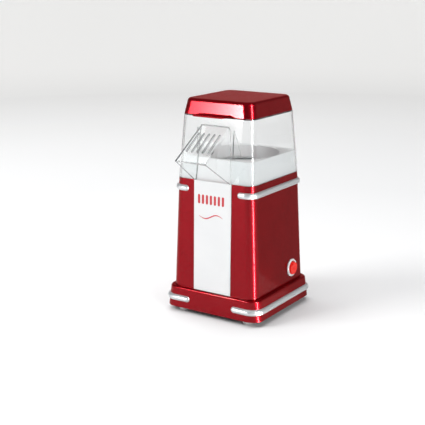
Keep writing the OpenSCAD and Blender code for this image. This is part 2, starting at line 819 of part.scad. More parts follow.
// Motor: can, magnets, bushes, end cap, and the turning shaft with its armature
motor_r = motor_d / 2;
can_wall = 1.2;
bush_r = 4;
bush_l = 4;
end_t = 3;
cap_t = 1.5;
magnet_t = 3;
motor_screw_r = 1.4;
armature_r = motor_r - can_wall - magnet_t - 1;
module motor_can() {
    color("#b8b8bc") on_tower() difference() {
        translate([0, 0, motor_z]) cylinder(h = motor_l, r = motor_r);
        translate([0, 0, motor_z - 1]) cylinder(h = motor_l - can_wall + 1, r = motor_r - can_wall);
        translate([0, 0, motor_z]) cylinder(h = motor_l + 1, r = bush_r + fit_gap, $fn = 32);
        around(2, motor_d / 3) translate([0, 0, motor_z + motor_l / 2])
            cylinder(h = motor_l, r = motor_screw_r + 0.1, $fn = 32);
    }
}
module motor_magnets() {
    outer = motor_r - can_wall - fit_gap;
    color("#404044") on_tower() translate([0, 0, motor_z + end_t + 4]) difference() {
        cylinder(h = motor_l - 14, r = outer);
        translate([0, 0, -1]) cylinder(h = motor_l, r = outer - magnet_t + fit_gap);
        translate([-far / 2, -3, -1]) cube([far, 6, motor_l]);
    }
}
module bush(z) {
    translate([0, 0, z]) difference() {
        cylinder(h = bush_l, r = bush_r, $fn = 32);
        translate([0, 0, -1]) cylinder(h = bush_l + 2, r = shaft_r + fit_gap, $fn = 32);
    }
}
module motor_bushes() {
    color("#b08850") on_tower() {
        bush(motor_z + motor_l - can_wall - 1.4);
        bush(motor_z);
    }
}
module motor_end_cap() {
    color("#303030") on_tower() translate([0, 0, motor_z]) difference() {
        union() {
            translate([0, 0, -cap_t]) cylinder(h = cap_t, r = motor_r);
            cylinder(h = end_t, r = motor_r - can_wall - fit_gap);
        }
        cylinder(h = far, r = bush_r + fit_gap, $fn = 32);
        translate([0, 0, -cap_t - 1]) cylinder(h = 4, r = shaft_r + 1, $fn = 32);
    }
}
module motor_shaft() {
    color("silver") on_tower() translate([0, 0, motor_z + 0.5])
        cylinder(h = impeller_z + impeller_h + 1 - motor_z, r = shaft_r, $fn = 32);
}
module motor_armature() {
    color("#985828") on_tower() translate([0, 0, motor_z + bush_l + 3]) difference() {
        cylinder(h = motor_l - 2 * bush_l - 9, r = armature_r);
        translate([0, 0, -1]) cylinder(h = motor_l, r = shaft_r + fit_gap / 2, $fn = 32);
        around(5, armature_r) translate([0, 0, -1]) cylinder(h = motor_l, r = 1.4, $fn = 24);
    }
}
module motor_screws() {
    color("silver") on_tower() around(2, motor_d / 3) {
        translate([0, 0, fan_z + fan_floor_t]) cylinder(h = 1.6, r = 2.8, $fn = 32);
        translate([0, 0, fan_z - 4]) cylinder(h = fan_floor_t + 4 + eps, r = motor_screw_r, $fn = 32);
    }
}

// Rectifier: a round board under the motor with four diodes
board_t = 1.6;
board_z = motor_z - cap_t - board_t;
diode_r = 1.3;
module rectifier_board() {
    color("#2e6b3a") on_tower() translate([0, 0, board_z]) difference() {
        cylinder(h = board_t, r = motor_r - 2);
        translate([0, 0, -1]) cylinder(h = 4, r = 3, $fn = 32);
    }
}
module rectifier_diodes() {
    color("#181818") on_tower() around(4, 9.5, 45)
        translate([0, -3, board_z - diode_r]) rotate([-90, 0, 0])
        cylinder(h = 6, r = diode_r, $fn = 24);
}

measuring_cap();
hood();
chute();
collar();
front_panel();
body_shell();
plinth();
upper_trim_band();
lower_trim_band();
switch_housing();
switch_rocker();
switch_pin();
switch_terminals();
cord_gland();
base_plate();
feet();
foot_screws();
popping_chamber();
air_duct();
heater_frame();
heater_coil();
thermostat();
thermal_fuse();
fan_housing();
housing_screws();
impeller();
motor_can();
motor_magnets();
motor_bushes();
motor_end_cap();
motor_shaft();
motor_armature();
motor_screws();
rectifier_board();
rectifier_diodes();
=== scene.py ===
# %% [markdown]
# # A hot-air popcorn maker, piece by piece
#
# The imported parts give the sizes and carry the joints. This lesson keeps the hidden
# ones and gives them a finish, and it builds every piece that shows again, with the
# small roundings and the smooth shading that plain parts lack.

import json
import math

import bmesh
import bpy
from mathutils import Matrix, Vector


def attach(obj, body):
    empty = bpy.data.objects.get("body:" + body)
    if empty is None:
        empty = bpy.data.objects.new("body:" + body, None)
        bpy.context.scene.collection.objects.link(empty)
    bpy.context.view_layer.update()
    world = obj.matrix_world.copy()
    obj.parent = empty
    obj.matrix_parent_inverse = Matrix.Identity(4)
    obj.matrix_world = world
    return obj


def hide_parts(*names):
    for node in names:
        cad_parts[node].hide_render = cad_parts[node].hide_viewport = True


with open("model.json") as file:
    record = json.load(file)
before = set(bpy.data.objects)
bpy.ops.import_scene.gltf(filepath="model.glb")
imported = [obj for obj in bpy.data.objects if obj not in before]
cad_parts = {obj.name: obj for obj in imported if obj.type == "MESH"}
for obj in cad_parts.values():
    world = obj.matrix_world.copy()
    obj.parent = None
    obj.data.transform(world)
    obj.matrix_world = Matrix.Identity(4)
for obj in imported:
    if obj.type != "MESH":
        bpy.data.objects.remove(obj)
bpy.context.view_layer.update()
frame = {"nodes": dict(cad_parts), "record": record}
scene = bpy.context.scene
MM = 0.001

# %% [markdown]
# ## The camera
#
# A long lens from a little above and to the right keeps the tower's sides nearly
# upright. The small shift slides the picture, so that the tower stands right of the
# middle without turning the camera. The tower's axis lies a little behind the frame's
# origin, because the origin is the middle of a box that the chute takes part in.

# %% Set up the camera
AXIS_Y = 19.4009 * MM
AIM_Z, CAMERA_AWAY = 153 * MM, 1.3133
azimuth, elevation = math.radians(32.42), math.radians(13.7)
away = Vector((math.sin(azimuth) * math.cos(elevation), -math.cos(azimuth) * math.cos(elevation),
               math.sin(elevation)))
lens = bpy.data.cameras.new("camera")
lens.sensor_width, lens.lens = 36, 79.62
lens.shift_x, lens.shift_y = -0.0626, -0.0311
lens.clip_end = 60
camera = bpy.data.objects.new("camera", lens)
camera.location = Vector((0, AXIS_Y, AIM_Z)) + away * CAMERA_AWAY
camera.rotation_mode = "QUATERNION"
camera.rotation_quaternion = (-away).to_track_quat("-Z", "Y")
scene.collection.objects.link(camera)
scene.camera = camera
scene.view_settings.view_transform = "Standard"
scene.cycles.transparent_max_bounces = 32
print("camera at", [round(x, 3) for x in camera.location])

# %% [markdown]
# ## Sums of shader values
#
# A material's numbers come from small patterns that are scaled, added and multiplied.
# One class wraps a socket, so that the sum is written as it would be on paper and
# adds its own Math nodes.


# %% A socket that can be added up
class Value:
    """A number socket. An expression on it adds the Math nodes it needs."""

    def __init__(self, tree, socket):
        self.tree, self.socket = tree, socket

    def math(self, operation, *others, swapped=False):
        node = self.tree.nodes.new("ShaderNodeMath")
        node.operation = operation
        terms = [self, *others][::-1] if swapped else [self, *others]
        for socket, term in zip(node.inputs, terms):
            if isinstance(term, Value):
                self.tree.links.new(term.socket, socket)
            else:
                socket.default_value = term
        return Value(self.tree, node.outputs[0])

    def __add__(self, other):
        return self.math("ADD", other)

    def __sub__(self, other):
        return self.math("SUBTRACT", other)

    def __rsub__(self, other):
        return self.math("SUBTRACT", other, swapped=True)

    def __mul__(self, other):
        return self.math("MULTIPLY", other)

    __radd__, __rmul__ = __add__, __mul__


# %% [markdown]
# ## Finishes
#
# A finish is one material. Its fixed numbers are set on the shader's own sockets, and
# what changes over the surface comes in through `feed`. All patterns read Object
# coordinates, in metres, so a scale of 1000 gives grains of about a millimetre.


# %% One class for all the finishes
class Finish:
    """A material with a Principled shader, and short ways to add its patterns."""

    def __init__(self, name, fixed):
        self.material = bpy.data.materials.new(name)
        self.material.use_nodes = True
        self.tree = self.material.node_tree
        self.shader = self.tree.nodes["Principled BSDF"]
        self.fill(self.shader, fixed)
        self.place = self.add("ShaderNodeTexCoord").outputs["Object"]

    def fill(self, node, inputs):
        for name, value in inputs.items():
            value = value.socket if isinstance(value, Value) else value
            if isinstance(value, bpy.types.NodeSocket):
                self.tree.links.new(value, node.inputs[name])
            else:
                node.inputs[name].default_value = value

    def add(self, kind, settings=None, inputs=None):
        node = self.tree.nodes.new(kind)
        for name, value in (settings or {}).items():
            setattr(node, name, value)
        self.fill(node, inputs or {})
        return node

    def noise(self, scale, detail=2.0, stretch=(1, 1, 1)):
        mapping = self.add("ShaderNodeMapping", {}, {"Vector": self.place, "Scale": stretch})
        node = self.add("ShaderNodeTexNoise", {},
                        {"Vector": mapping.outputs[0], "Scale": scale, "Detail": detail})
        return Value(self.tree, node.outputs[0])

    def mix(self, mask, first, second):
        """first where mask is 0, second where it is 1, as colours."""
        node = self.add("ShaderNodeMix", {"data_type": "RGBA"}, {0: mask, 6: first, 7: second})
        return node.outputs[2]

    def bump(self, height, distance, strength=1.0):
        node = self.add("ShaderNodeBump", {},
                        {"Height": height, "Distance": distance, "Strength": strength})
        self.feed({"Normal": node.outputs[0]})

    def feed(self, inputs):
        self.fill(self.shader, inputs)
        return self


def rgb(red, green, blue):
    return (red, green, blue, 1.0)


# %% [markdown]
# ## Candy red
#
# The shell's paint is metallic red under clear lacquer: a deep base that mirrors in
# its own colour, fine flakes that make the tone swim a little, and a sharp coat on
# top. A faint waviness of the lacquer keeps long reflections from looking drawn.

# %% Mix the candy red
candy = Finish("candy_red", {"Metallic": 0.75, "Coat Weight": 0.5, "Coat Roughness": 0.03,
                             "Coat IOR": 1.33, "Specular Tint": rgb(0.80, 0.05, 0.06),
                             "Specular IOR Level": 0.0})
cloud = candy.noise(16.0, 3.0)
flake = candy.noise(2600.0, 1.0)
candy.feed({"Base Color": candy.mix(cloud * 0.55 + flake * 0.35, rgb(0.21, 0.002, 0.006),
                                    rgb(0.30, 0.004, 0.010)),
            "Roughness": 0.22 + 0.08 * flake + 0.04 * cloud})
candy.bump(candy.noise(190.0, 1.0) + 0.15 * flake, 0.00006, 0.5)
print("made", candy.material.name)

# %% [markdown]
# ## White, silver and signal red
#
# The white mouldings are glossy with a very fine texture. The trim is satin chrome,
# brushed along its length, so its grain is much longer along the wall than up it.
# The rocker's red has a faint painted glow that brightens it, though no lamp sits behind
# it. The two inks are for a motif on the panel and for the rocker's marks.

# %% Mix the moulded and plated finishes
white = Finish("white_moulding", {"Coat Weight": 0.2, "Coat Roughness": 0.06, "Coat IOR": 1.3,
                                  "Specular IOR Level": 0.12})
cloud = white.noise(22.0, 2.0)
white.feed({"Base Color": white.mix(cloud, rgb(0.78, 0.785, 0.79), rgb(0.84, 0.845, 0.845)),
            "Roughness": 0.30 + 0.10 * cloud})
white.bump(white.noise(1500.0, 1.0), 0.00003, 0.35)

silver = Finish("satin_chrome", {"Metallic": 0.6})
grain = silver.noise(60.0, 3.0, (0.25, 0.25, 60.0))
silver.feed({"Base Color": silver.mix(grain, rgb(0.56, 0.58, 0.59), rgb(0.72, 0.74, 0.75)),
             "Roughness": 0.26 + 0.14 * grain})
silver.bump(grain, 0.00004, 0.4)

# The emission is painted light: a faint glow on the rocker, which has no lamp inside.
signal = Finish("rocker_red", {"Coat Weight": 0.2, "Coat Roughness": 0.05,
                               "Specular IOR Level": 0.15, "Emission Strength": 0.12})
cloud = signal.noise(180.0, 2.0)
glow = signal.mix(cloud, rgb(0.78, 0.010, 0.010), rgb(0.95, 0.035, 0.020))
signal.feed({"Base Color": glow, "Emission Color": glow, "Roughness": 0.22 + 0.08 * cloud})

print_ink = Finish("printed_red", {})
cloud = print_ink.noise(400.0, 2.0)
print_ink.feed({"Base Color": print_ink.mix(cloud, rgb(0.50, 0.008, 0.020), rgb(0.62, 0.02, 0.03)),
                "Roughness": 0.32 + 0.12 * cloud})

pale_ink = Finish("pale_ink", {})
cloud = pale_ink.noise(900.0, 2.0)
pale_ink.feed({"Base Color": pale_ink.mix(cloud, rgb(0.80, 0.55, 0.52), rgb(0.92, 0.72, 0.70)),
               "Roughness": 0.45 + 0.1 * cloud})
print("made", [f.material.name for f in (white, silver, signal, print_ink, pale_ink)])

# %% [markdown]
# ## Clear plastic
#
# The hood's walls have their real thickness, so real refraction draws lines where a
# wall turns. Where a wall is seen nearly edge on, a dark grey sheet is mixed in: painted
# shade that darkens the hood's silhouettes. Light that only passes through on its way to
# something else is let straight through, else the white collar inside would stand in the
# dark. A cut edge is never polished, so it has a second, greyer finish.

# %% Mix the clear plastic
# Where the painted shade at the silhouettes starts, how fast it rises and its largest share.
RIM_FROM, RIM_RISE, RIM_MOST = 0.5, 3.0, 0.85


def clear_finish(name, tint, rough, grey):
    """See-through plastic. grey is the least share of a dark grey sheet mixed in; where the
    surface turns away from the eye, more of the sheet is painted in as shade."""
    clear = Finish(name, {"Base Color": tint, "IOR": 1.45, "Transmission Weight": 1.0})
    haze = clear.noise(60.0, 2.0)
    clear.feed({"Roughness": rough + 0.02 * haze})
    grey_and_painted_shade = clear.add("ShaderNodeBsdfPrincipled", {},
                      {"Base Color": clear.mix(haze, rgb(0.16, 0.17, 0.18), rgb(0.22, 0.23, 0.24)),
                       "Roughness": 0.25})
    through = clear.add("ShaderNodeBsdfTransparent", {}, {"Color": rgb(0.95, 0.965, 0.965)})
    view = clear.add("ShaderNodeLayerWeight", {}, {"Blend": 0.5})
    # Painted shade: the dark grey sheet grows where the wall turns edge on, so the hood's
    # silhouettes darken.
    turned_away = (Value(clear.tree, view.outputs["Facing"]) - RIM_FROM) * RIM_RISE
    rim = turned_away.math("MAXIMUM", grey).math("MINIMUM", RIM_MOST)
    body = clear.add("ShaderNodeMixShader", {}, {0: rim, 1: clear.shader.outputs[0],
                                                 2: grey_and_painted_shade.outputs[0]})
    path = clear.add("ShaderNodeLightPath")
    passing = Value(clear.tree, path.outputs["Is Shadow Ray"]).math(
        "MAXIMUM", Value(clear.tree, path.outputs["Is Diffuse Ray"]))
    film = clear.add("ShaderNodeMixShader", {}, {0: passing, 1: body.outputs[0],
                                                 2: through.outputs[0]})
    clear.tree.links.new(film.outputs[0], clear.tree.nodes["Material Output"].inputs["Surface"])
    return clear


clear = clear_finish("clear_plastic", rgb(0.985, 0.99, 0.99), 0.0, 0.0)
clear_edge = clear_finish("clear_cut_edge", rgb(0.93, 0.95, 0.95), 0.15, 0.35)
print("made", clear.material.name, clear_edge.material.name)


# %% [markdown]
# ## Finishes of the parts inside
#
# The hidden parts are sheet metal, plastic, mica and rubber. One recipe covers them:
# two tones mixed by a grain, a roughness that follows the same grain and a bump.
# What differs is in a table.

# %% Mix the plain finishes from a table
PLAIN = {
    "steel": (1.0, 0.28, rgb(0.50, 0.50, 0.51), rgb(0.68, 0.68, 0.69), 900, (1, 1, 1)),
    "brass": (1.0, 0.30, rgb(0.60, 0.42, 0.16), rgb(0.78, 0.60, 0.28), 700, (1, 1, 1)),
    "black_rubber": (0.0, 0.62, rgb(0.01, 0.01, 0.011), rgb(0.03, 0.03, 0.032), 900, (1, 1, 1)),
    "dark_plastic": (0.0, 0.46, rgb(0.02, 0.02, 0.022), rgb(0.045, 0.045, 0.048), 1100, (1, 1, 1)),
    "white_rubber": (0.0, 0.50, rgb(0.74, 0.74, 0.72), rgb(0.84, 0.84, 0.82), 800, (1, 1, 1)),
    "aluminium": (1.0, 0.26, rgb(0.66, 0.67, 0.68), rgb(0.82, 0.83, 0.84), 300, (1, 1, 12)),
    "sheet_steel": (1.0, 0.34, rgb(0.46, 0.47, 0.48), rgb(0.62, 0.63, 0.64), 240, (1, 1, 6)),
    "mica": (0.0, 0.55, rgb(0.52, 0.46, 0.33), rgb(0.70, 0.65, 0.50), 500, (1, 1, 1)),
    "coil_wire": (1.0, 0.42, rgb(0.20, 0.18, 0.17), rgb(0.38, 0.35, 0.33), 900, (1, 1, 1)),
    "impeller_plastic": (0.0, 0.44, rgb(0.66, 0.66, 0.62), rgb(0.78, 0.78, 0.74), 900, (1, 1, 1)),
    "magnet": (0.2, 0.60, rgb(0.05, 0.05, 0.055), rgb(0.10, 0.10, 0.11), 1200, (1, 1, 1)),
    "armature": (0.8, 0.40, rgb(0.30, 0.16, 0.08), rgb(0.48, 0.27, 0.14), 700, (1, 1, 20)),
    "board_green": (0.0, 0.42, rgb(0.02, 0.12, 0.05), rgb(0.05, 0.22, 0.09), 900, (1, 1, 1)),
}
FINISH = {"red_gloss": candy, "clear_plastic": clear, "white_plastic": white,
          "trim_silver": silver, "rocker_red": signal}
for name, (metal, rough, dark, light, scale, stretch) in PLAIN.items():
    plain = Finish(name, {"Metallic": metal})
    grain = plain.noise(float(scale), 3.0, stretch)
    plain.feed({"Base Color": plain.mix(grain, dark, light),
                "Roughness": rough - 0.07 + 0.14 * grain})
    plain.bump(grain, 0.00004, 0.3)
    FINISH[name] = plain
print("finishes:", len(FINISH))

# %% [markdown]
# ## From a shape to a piece
#
# Every piece ends the same way: faces smooth, edges that really fold marked sharp, a
# small live bevel on those, and weighted normals, so that the broad flat walls keep a
# flat reflection right up to their round corners.


# %% Turn a bmesh into a finished piece
def mesh_object(bm, name):
    """A plain object from a bmesh, with its place in its mesh."""
    mesh = bpy.data.meshes.new(name)
    bm.to_mesh(mesh)
    bm.free()
    thing = bpy.data.objects.new(name, mesh)
    scene.collection.objects.link(thing)
    return thing


def finish_piece(bm, name, slot, body, nodes=(), bevel=0.4 * MM, finish=None, fold=32):
    """A smooth piece in a finish, that rides on a body and stands for CAD nodes."""
    bmesh.ops.remove_doubles(bm, verts=bm.verts, dist=0.001 * MM)
    bmesh.ops.recalc_face_normals(bm, faces=bm.faces)
    for face in bm.faces:
        face.smooth = True
    for line in bm.edges:
        line.smooth = line.calc_face_angle(0) < math.radians(fold)
    piece = mesh_object(bm, name)
    piece.data.materials.append((finish or FINISH[slot]).material)
    if slot == "clear_plastic":
        piece.data.materials.append(clear_edge.material)
    if bevel:
        soften = piece.modifiers.new("round_edges", "BEVEL")
        soften.width, soften.segments = bevel, 3
        soften.limit_method, soften.angle_limit = "ANGLE", math.radians(fold + 6)
        soften.material = 1 if slot == "clear_plastic" else -1
    piece.modifiers.new("flat_walls", "WEIGHTED_NORMAL").keep_sharp = True
    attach(piece, body)
    if nodes:
        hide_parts(*nodes)
    print(f"{name}: {len(piece.data.vertices)} vertices on {body}")
    return piece


def combine(bm, other, operation="DIFFERENCE", cut_slot=0):
    """Cuts other from bm, or joins it on, exactly. Both are used up. The cut's own faces
    get the material of cut_slot."""
    for face in other.faces:
        face.material_index = cut_slot
    base, tool = mesh_object(bm, "base"), mesh_object(other, "tool")
    step = base.modifiers.new("combine", "BOOLEAN")
    step.object, step.operation, step.solver = tool, operation, "EXACT"
    graph = bpy.context.evaluated_depsgraph_get()
    result = bmesh.new()
    result.from_mesh(base.evaluated_get(graph).to_mesh())
    for thing in (base, tool):
        mesh = thing.data
        bpy.data.objects.remove(thing)
        bpy.data.meshes.remove(mesh)
    return result


# %% [markdown]
# ## The tower's outline
#
# Cap, hood, collar, shell, plinth and bands all follow one tower: a rectangle with
# round corners whose width and depth shrink in straight stretches. So one helper
# draws that outline at any height, moved in by a wall, and another bridges a row of
# outlines into a skin.

# %% Outlines of the tower at a height
PLINTH_Z, BODY_Z, WAIST_Z, CAP_Z, TOP_Z = 7, 36, 190, 277, 298
LEVELS = [PLINTH_Z, BODY_Z - 0.01, BODY_Z, WAIST_Z, CAP_Z, TOP_Z]
WIDTHS = [152, 146.8, 134.8, 123, 113, 105]
DEPTHS = [151, 145.8, 137.8, 130, 115.5, 107.5]
CORNER_R, CORNER_STEPS = 13, 12
HAIR = 0.013 * MM


def spot(x, y, z):
    """A point given in millimetres from the tower's axis."""
    return Vector((x, y, z)) * MM + Vector((0, AXIS_Y, 0))


def round_off(bm, geom, radius, steps, kind="EDGES"):
    """Rounds edges, or the corners of a flat shape, with an arc in steps."""
    bmesh.ops.bevel(bm, geom=geom, offset=radius, offset_type="OFFSET", segments=steps,
                    profile=0.5, affect=kind, clamp_overlap=False, material=-1)


def at(values, z):
    """The width or depth of the tower at a height, all in millimetres."""
    for low, high, a, b in zip(LEVELS, LEVELS[1:], values, values[1:]):
        if z <= high:
            return a + (b - a) * max(z - low, 0) / (high - low)
    return values[-1]


def outline(bm, z, inset=0.0, more_r=0.0, drawn_at=None):
    """The edges of one outline, moved in by inset and drawn at another height if told."""
    before = set(bm.edges)
    verts = bmesh.ops.create_grid(bm, x_segments=1, y_segments=1, size=0.5 * MM)["verts"]
    size = (at(WIDTHS, z) - 2 * inset, at(DEPTHS, z) - 2 * inset, 1)
    bmesh.ops.scale(bm, vec=size, verts=verts)
    height = (z if drawn_at is None else drawn_at) * MM
    bmesh.ops.translate(bm, vec=(0, AXIS_Y, height), verts=verts)
    round_off(bm, verts, (CORNER_R + more_r - inset) * MM, CORNER_STEPS, "VERTICES")
    lines = [e for e in bm.edges if e not in before]
    bmesh.ops.delete(bm, geom=list({f for e in lines for f in e.link_faces}), context="FACES_ONLY")
    return lines


def skin(bm, rows, closed=False):
    """Bridges a row of outlines, and the last to the first if the skin is a ring. Two
    outlines in one plane would bridge crosswise, so one is lifted a hair meanwhile."""
    for first, second in zip(rows, rows[1:] + rows[:1] if closed else rows[1:]):
        verts = list({v for line in second for v in line.verts})
        bmesh.ops.translate(bm, vec=(0, 0, HAIR), verts=verts)
        bmesh.ops.bridge_loops(bm, edges=first + second)
        bmesh.ops.translate(bm, vec=(0, 0, -HAIR), verts=verts)


def tower(rows, closed=False, lids=True):
    """A new bmesh: outlines given as (height, inset, more corner, drawn at), bridged."""
    bm = bmesh.new()
    loops = [outline(bm, *row) for row in rows]
    skin(bm, loops, closed)
    if lids and not closed:
        for loop in (loops[0], loops[-1]):
            bmesh.ops.edgeloop_fill(bm, edges=loop)
    bmesh.ops.recalc_face_normals(bm, faces=bm.faces)
    return bm


print("waist:", at(WIDTHS, WAIST_Z), "x", at(DEPTHS, WAIST_Z), "mm")

# %% [markdown]
# ## The measuring cap
#
# A shallow red cup, turned over the hood. Its top edge is a quarter round, which is
# drawn as a few outlines that move in as they rise. The inside is the same cup, one
# wall smaller, and the two are bridged at the rim. The handle is a thin tab.

# %% The cup of the cap
HOOD_WALL = 2.0
CAP_EDGE_R = 5.0
EDGE_STEPS = 8


def quarter_round(z, inset, radius, more_r=0):
    """Rows of outlines that start at z and move in along a quarter circle as they rise."""
    turns = [math.radians(90 * k / EDGE_STEPS) for k in range(EDGE_STEPS + 1)]
    return [(z, inset + radius * (1 - math.cos(turn)), more_r, z + radius * math.sin(turn))
            for turn in turns]


def cup_rows(inset):
    """The outlines of a cup with a round top edge, moved in by inset."""
    edge = max(CAP_EDGE_R - inset, 1)
    return [(CAP_Z, inset)] + quarter_round(TOP_Z - inset - edge, inset, edge)


cap = bmesh.new()
outer = [outline(cap, *row) for row in cup_rows(0)]
inner = [outline(cap, *row) for row in cup_rows(HOOD_WALL)]
skin(cap, outer)
skin(cap, inner)
skin(cap, [outer[0], inner[0]])
for top in (outer[-1], inner[-1]):
    bmesh.ops.edgeloop_fill(cap, edges=top)
finish_piece(cap, "cap_cup", "red_gloss", "cap", ["measuring_cap"], bevel=0.5 * MM)

# %% [markdown]
# ## The handle tab
#
# A flat tab that a finger lifts. It starts as a block, its two front corners are
# rounded, and two low ribs below stiffen it. Its soft edge is what catches the light.

# %% The tab and its ribs
TAB_W, TAB_REACH, TAB_T, TAB_CORNER_R = 48.0, 20.5, 2.0, 3
TAB_Z = CAP_Z + 1
RIB_X, RIB_T, RIB_H, RIB_FROM_TIP = 15, 1.2, 0.9, 4


def block(low, high):
    """A new bmesh box between two corners, in millimetres on the tower's axis."""
    bm = bmesh.new()
    verts = bmesh.ops.create_cube(bm, size=MM)["verts"]
    bmesh.ops.scale(bm, vec=[b - a for a, b in zip(low, high)], verts=verts)
    middle = Vector([(a + b) / 2 * MM for a, b in zip(low, high)])
    bmesh.ops.translate(bm, vec=middle + Vector((0, AXIS_Y, 0)), verts=verts)
    return bm


rim_y = -at(DEPTHS, CAP_Z) / 2
tab = block((-TAB_W / 2, rim_y - TAB_REACH, TAB_Z),
            (TAB_W / 2, rim_y + HOOD_WALL / 2, TAB_Z + TAB_T))
front = min(v.co.y for v in tab.verts)
corners = [e for e in tab.edges if all(v.co.y < front + MM for v in e.verts)
           and abs(e.verts[0].co.z - e.verts[1].co.z) > MM]
round_off(tab, corners, TAB_CORNER_R * MM, 8)
for x in (-RIB_X, RIB_X):
    rib = block((x - RIB_T / 2, rim_y - TAB_REACH + RIB_FROM_TIP, TAB_Z - RIB_H),
                (x + RIB_T / 2, rim_y - 0.4, TAB_Z + 0.5))
    tab = combine(tab, rib, "UNION")
finish_piece(tab, "cap_handle_tab", "red_gloss", "cap", bevel=0.7 * MM)

# %% [markdown]
# ## The chute's block
#
# The chute and the opening it leaves in the hood have one shape: a box whose roof
# slopes, whose sides spread a little downwards, and whose roof edges are round at the
# hood and sharp at the lip. It is a cube with its corners moved, bevelled while both
# ends are tall, and only then pulled down to the lip.

# %% A helper for the chute's block
CHUTE_W, CHUTE_FOOT_W, CHUTE_REACH, CHUTE_WALL = 48.0, 59.2, 116.5, 1.8
ROOT_Y, ROOT_Z, LIP_Z = -58.7083, 265.5, 225.5
ROOF_EDGE_R = 5.0
ROOF_SLOPE = (ROOT_Z - LIP_Z) / (CHUTE_REACH + ROOT_Y)
ROOF_ANGLE = math.atan(ROOF_SLOPE)
FOOT_Y = -at(DEPTHS, WAIST_Z) / 2
UNDER_SLOPE = (LIP_Z - WAIST_Z) / (CHUTE_REACH + FOOT_Y)
FLARE = (CHUTE_FOOT_W - CHUTE_W) / 2 / (ROOT_Z - WAIST_Z)
TALL = 90.0
INSIDE_DROP, OUTSIDE_DROP, PAST_WALL = 12, 1.2, 6


def chute_block(inset, root, lip, drop):
    """The solid block of the chute between two depths, moved in by inset. Its underside
    lies lower than the chute's lip line by drop."""
    bm = bmesh.new()
    bmesh.ops.create_cube(bm, size=2)
    half_top = CHUTE_W / 2 - inset
    ends = {1: root, -1: lip}

    def roof(y):
        return ROOT_Z - ROOF_SLOPE * (ROOT_Y - y) - inset / math.cos(ROOF_ANGLE)

    for v in bm.verts:
        y = ends[round(v.co.y)]
        low = v.co.z < 0
        x = half_top + FLARE * TALL * low
        v.co = spot(x * round(v.co.x), y, roof(y) - TALL * low)
    long_tops = [e for e in bm.edges if abs(e.verts[0].co.y - e.verts[1].co.y) > 10 * MM
                 and all(abs(v.co.x) < (half_top + 1) * MM for v in e.verts)]
    radius = ROOF_EDGE_R - inset
    round_off(bm, long_tops, radius * MM, 8)
    for y, keep in ((root, 1.0), (lip, 0.1)):
        for side in (-1, 1):
            corner = spot(side * half_top, y, roof(y))
            round_top = [v for v in bm.verts if abs(v.co.y - corner.y) < 0.01 * MM
                         and (v.co - corner).length < 1.5 * radius * MM]
            bmesh.ops.scale(bm, vec=(keep,) * 3, space=Matrix.Translation(-corner), verts=round_top)
        under = WAIST_Z + UNDER_SLOPE * (FOOT_Y - y) - drop
        for v in bm.verts:
            if abs(v.co.y - AXIS_Y - y * MM) < 0.01 * MM and v.co.z < (roof(y) - TALL / 2) * MM:
                v.co.z = under * MM
                v.co.x = math.copysign((half_top + FLARE * (roof(y) - under)) * MM, v.co.x)
    bmesh.ops.recalc_face_normals(bm, faces=bm.faces)
    return bm


def chute_inside():
    """What is cut out of the block and of the hood, so that both share one opening."""
    return chute_block(CHUTE_WALL, ROOT_Y + HOOD_WALL + PAST_WALL, -CHUTE_REACH + CHUTE_WALL,
                       INSIDE_DROP)


print("roof falls", round(math.degrees(ROOF_ANGLE), 1), "degrees")

# %% [markdown]
# ## The clear hood
#
# One moulding: leaning walls, a shoulder that the cap sits on and a neck inside the
# cap. Its whole section, outside and inside, is a ring of outlines bridged back to
# the first, so the wall has its real thickness. The chute's inside is then cut out of
# the front wall.

# %% The hood's walls, shoulder and neck
NECK_INSET, NECK_WALL, NECK_H, SHOULDER_T, SHOULDER_SOFT = 2.8, 1.6, 10.5, 1.6, 0.3
inner_neck = NECK_INSET + NECK_WALL
hood = tower([(WAIST_Z, 0), (CAP_Z - 1, 0), (CAP_Z, SHOULDER_SOFT, 0, CAP_Z - SHOULDER_SOFT),
              (CAP_Z, 1, 0),
              (CAP_Z, NECK_INSET), (CAP_Z, NECK_INSET, 0, CAP_Z + NECK_H),
              (CAP_Z, inner_neck, 0, CAP_Z + NECK_H), (CAP_Z, inner_neck, 0, CAP_Z - SHOULDER_T),
              (CAP_Z - SHOULDER_T, HOOD_WALL), (WAIST_Z, HOOD_WALL)], closed=True)
hood = combine(hood, chute_inside(), cut_slot=1)
for face in hood.faces:
    if all(v.co.z < (WAIST_Z + 0.01) * MM for v in face.verts):
        face.material_index = 1
finish_piece(hood, "hood_shell", "clear_plastic", "hood", ["hood"], bevel=0.35 * MM)

# %% [markdown]
# ## The guide walls
#
# Two plates inside the hood lead the popped corn to the chute. Each is one face of
# four corners, drawn in the upright plane and given its thickness, then copied to the
# other side.

# %% The two guide walls
COLLAR_TOP = 220.5
GUIDE_T, GUIDE_DEPTH, GUIDE_TOP_DEPTH, GUIDE_LIFT = 1.5, 20.0, 1.5, 3
low, high = COLLAR_TOP + GUIDE_LIFT, ROOT_Z - ROOF_EDGE_R
guides = bmesh.new()


def points_of(geom):
    """The points among what an operator made."""
    return [v for v in geom if isinstance(v, bmesh.types.BMVert)]


def wall_y(z):
    """The inner face of the hood's front wall at a height."""
    return -at(DEPTHS, z) / 2 + HOOD_WALL


corner_points = [(wall_y(low), low), (wall_y(low) + GUIDE_DEPTH, low),
                 (wall_y(high) + GUIDE_TOP_DEPTH, high), (wall_y(high), high)]
plate = guides.faces.new([guides.verts.new(spot(CHUTE_FOOT_W / 2, y, z))
                          for y, z in corner_points])
thick = bmesh.ops.extrude_face_region(guides, geom=[plate])["geom"]
bmesh.ops.translate(guides, vec=(-GUIDE_T * MM, 0, 0), verts=points_of(thick))
bmesh.ops.mirror(guides, geom=guides.verts[:] + guides.edges[:] + guides.faces[:], axis="X",
                 merge_dist=0)
finish_piece(guides, "hood_guides", "clear_plastic", "hood", bevel=0.3 * MM)

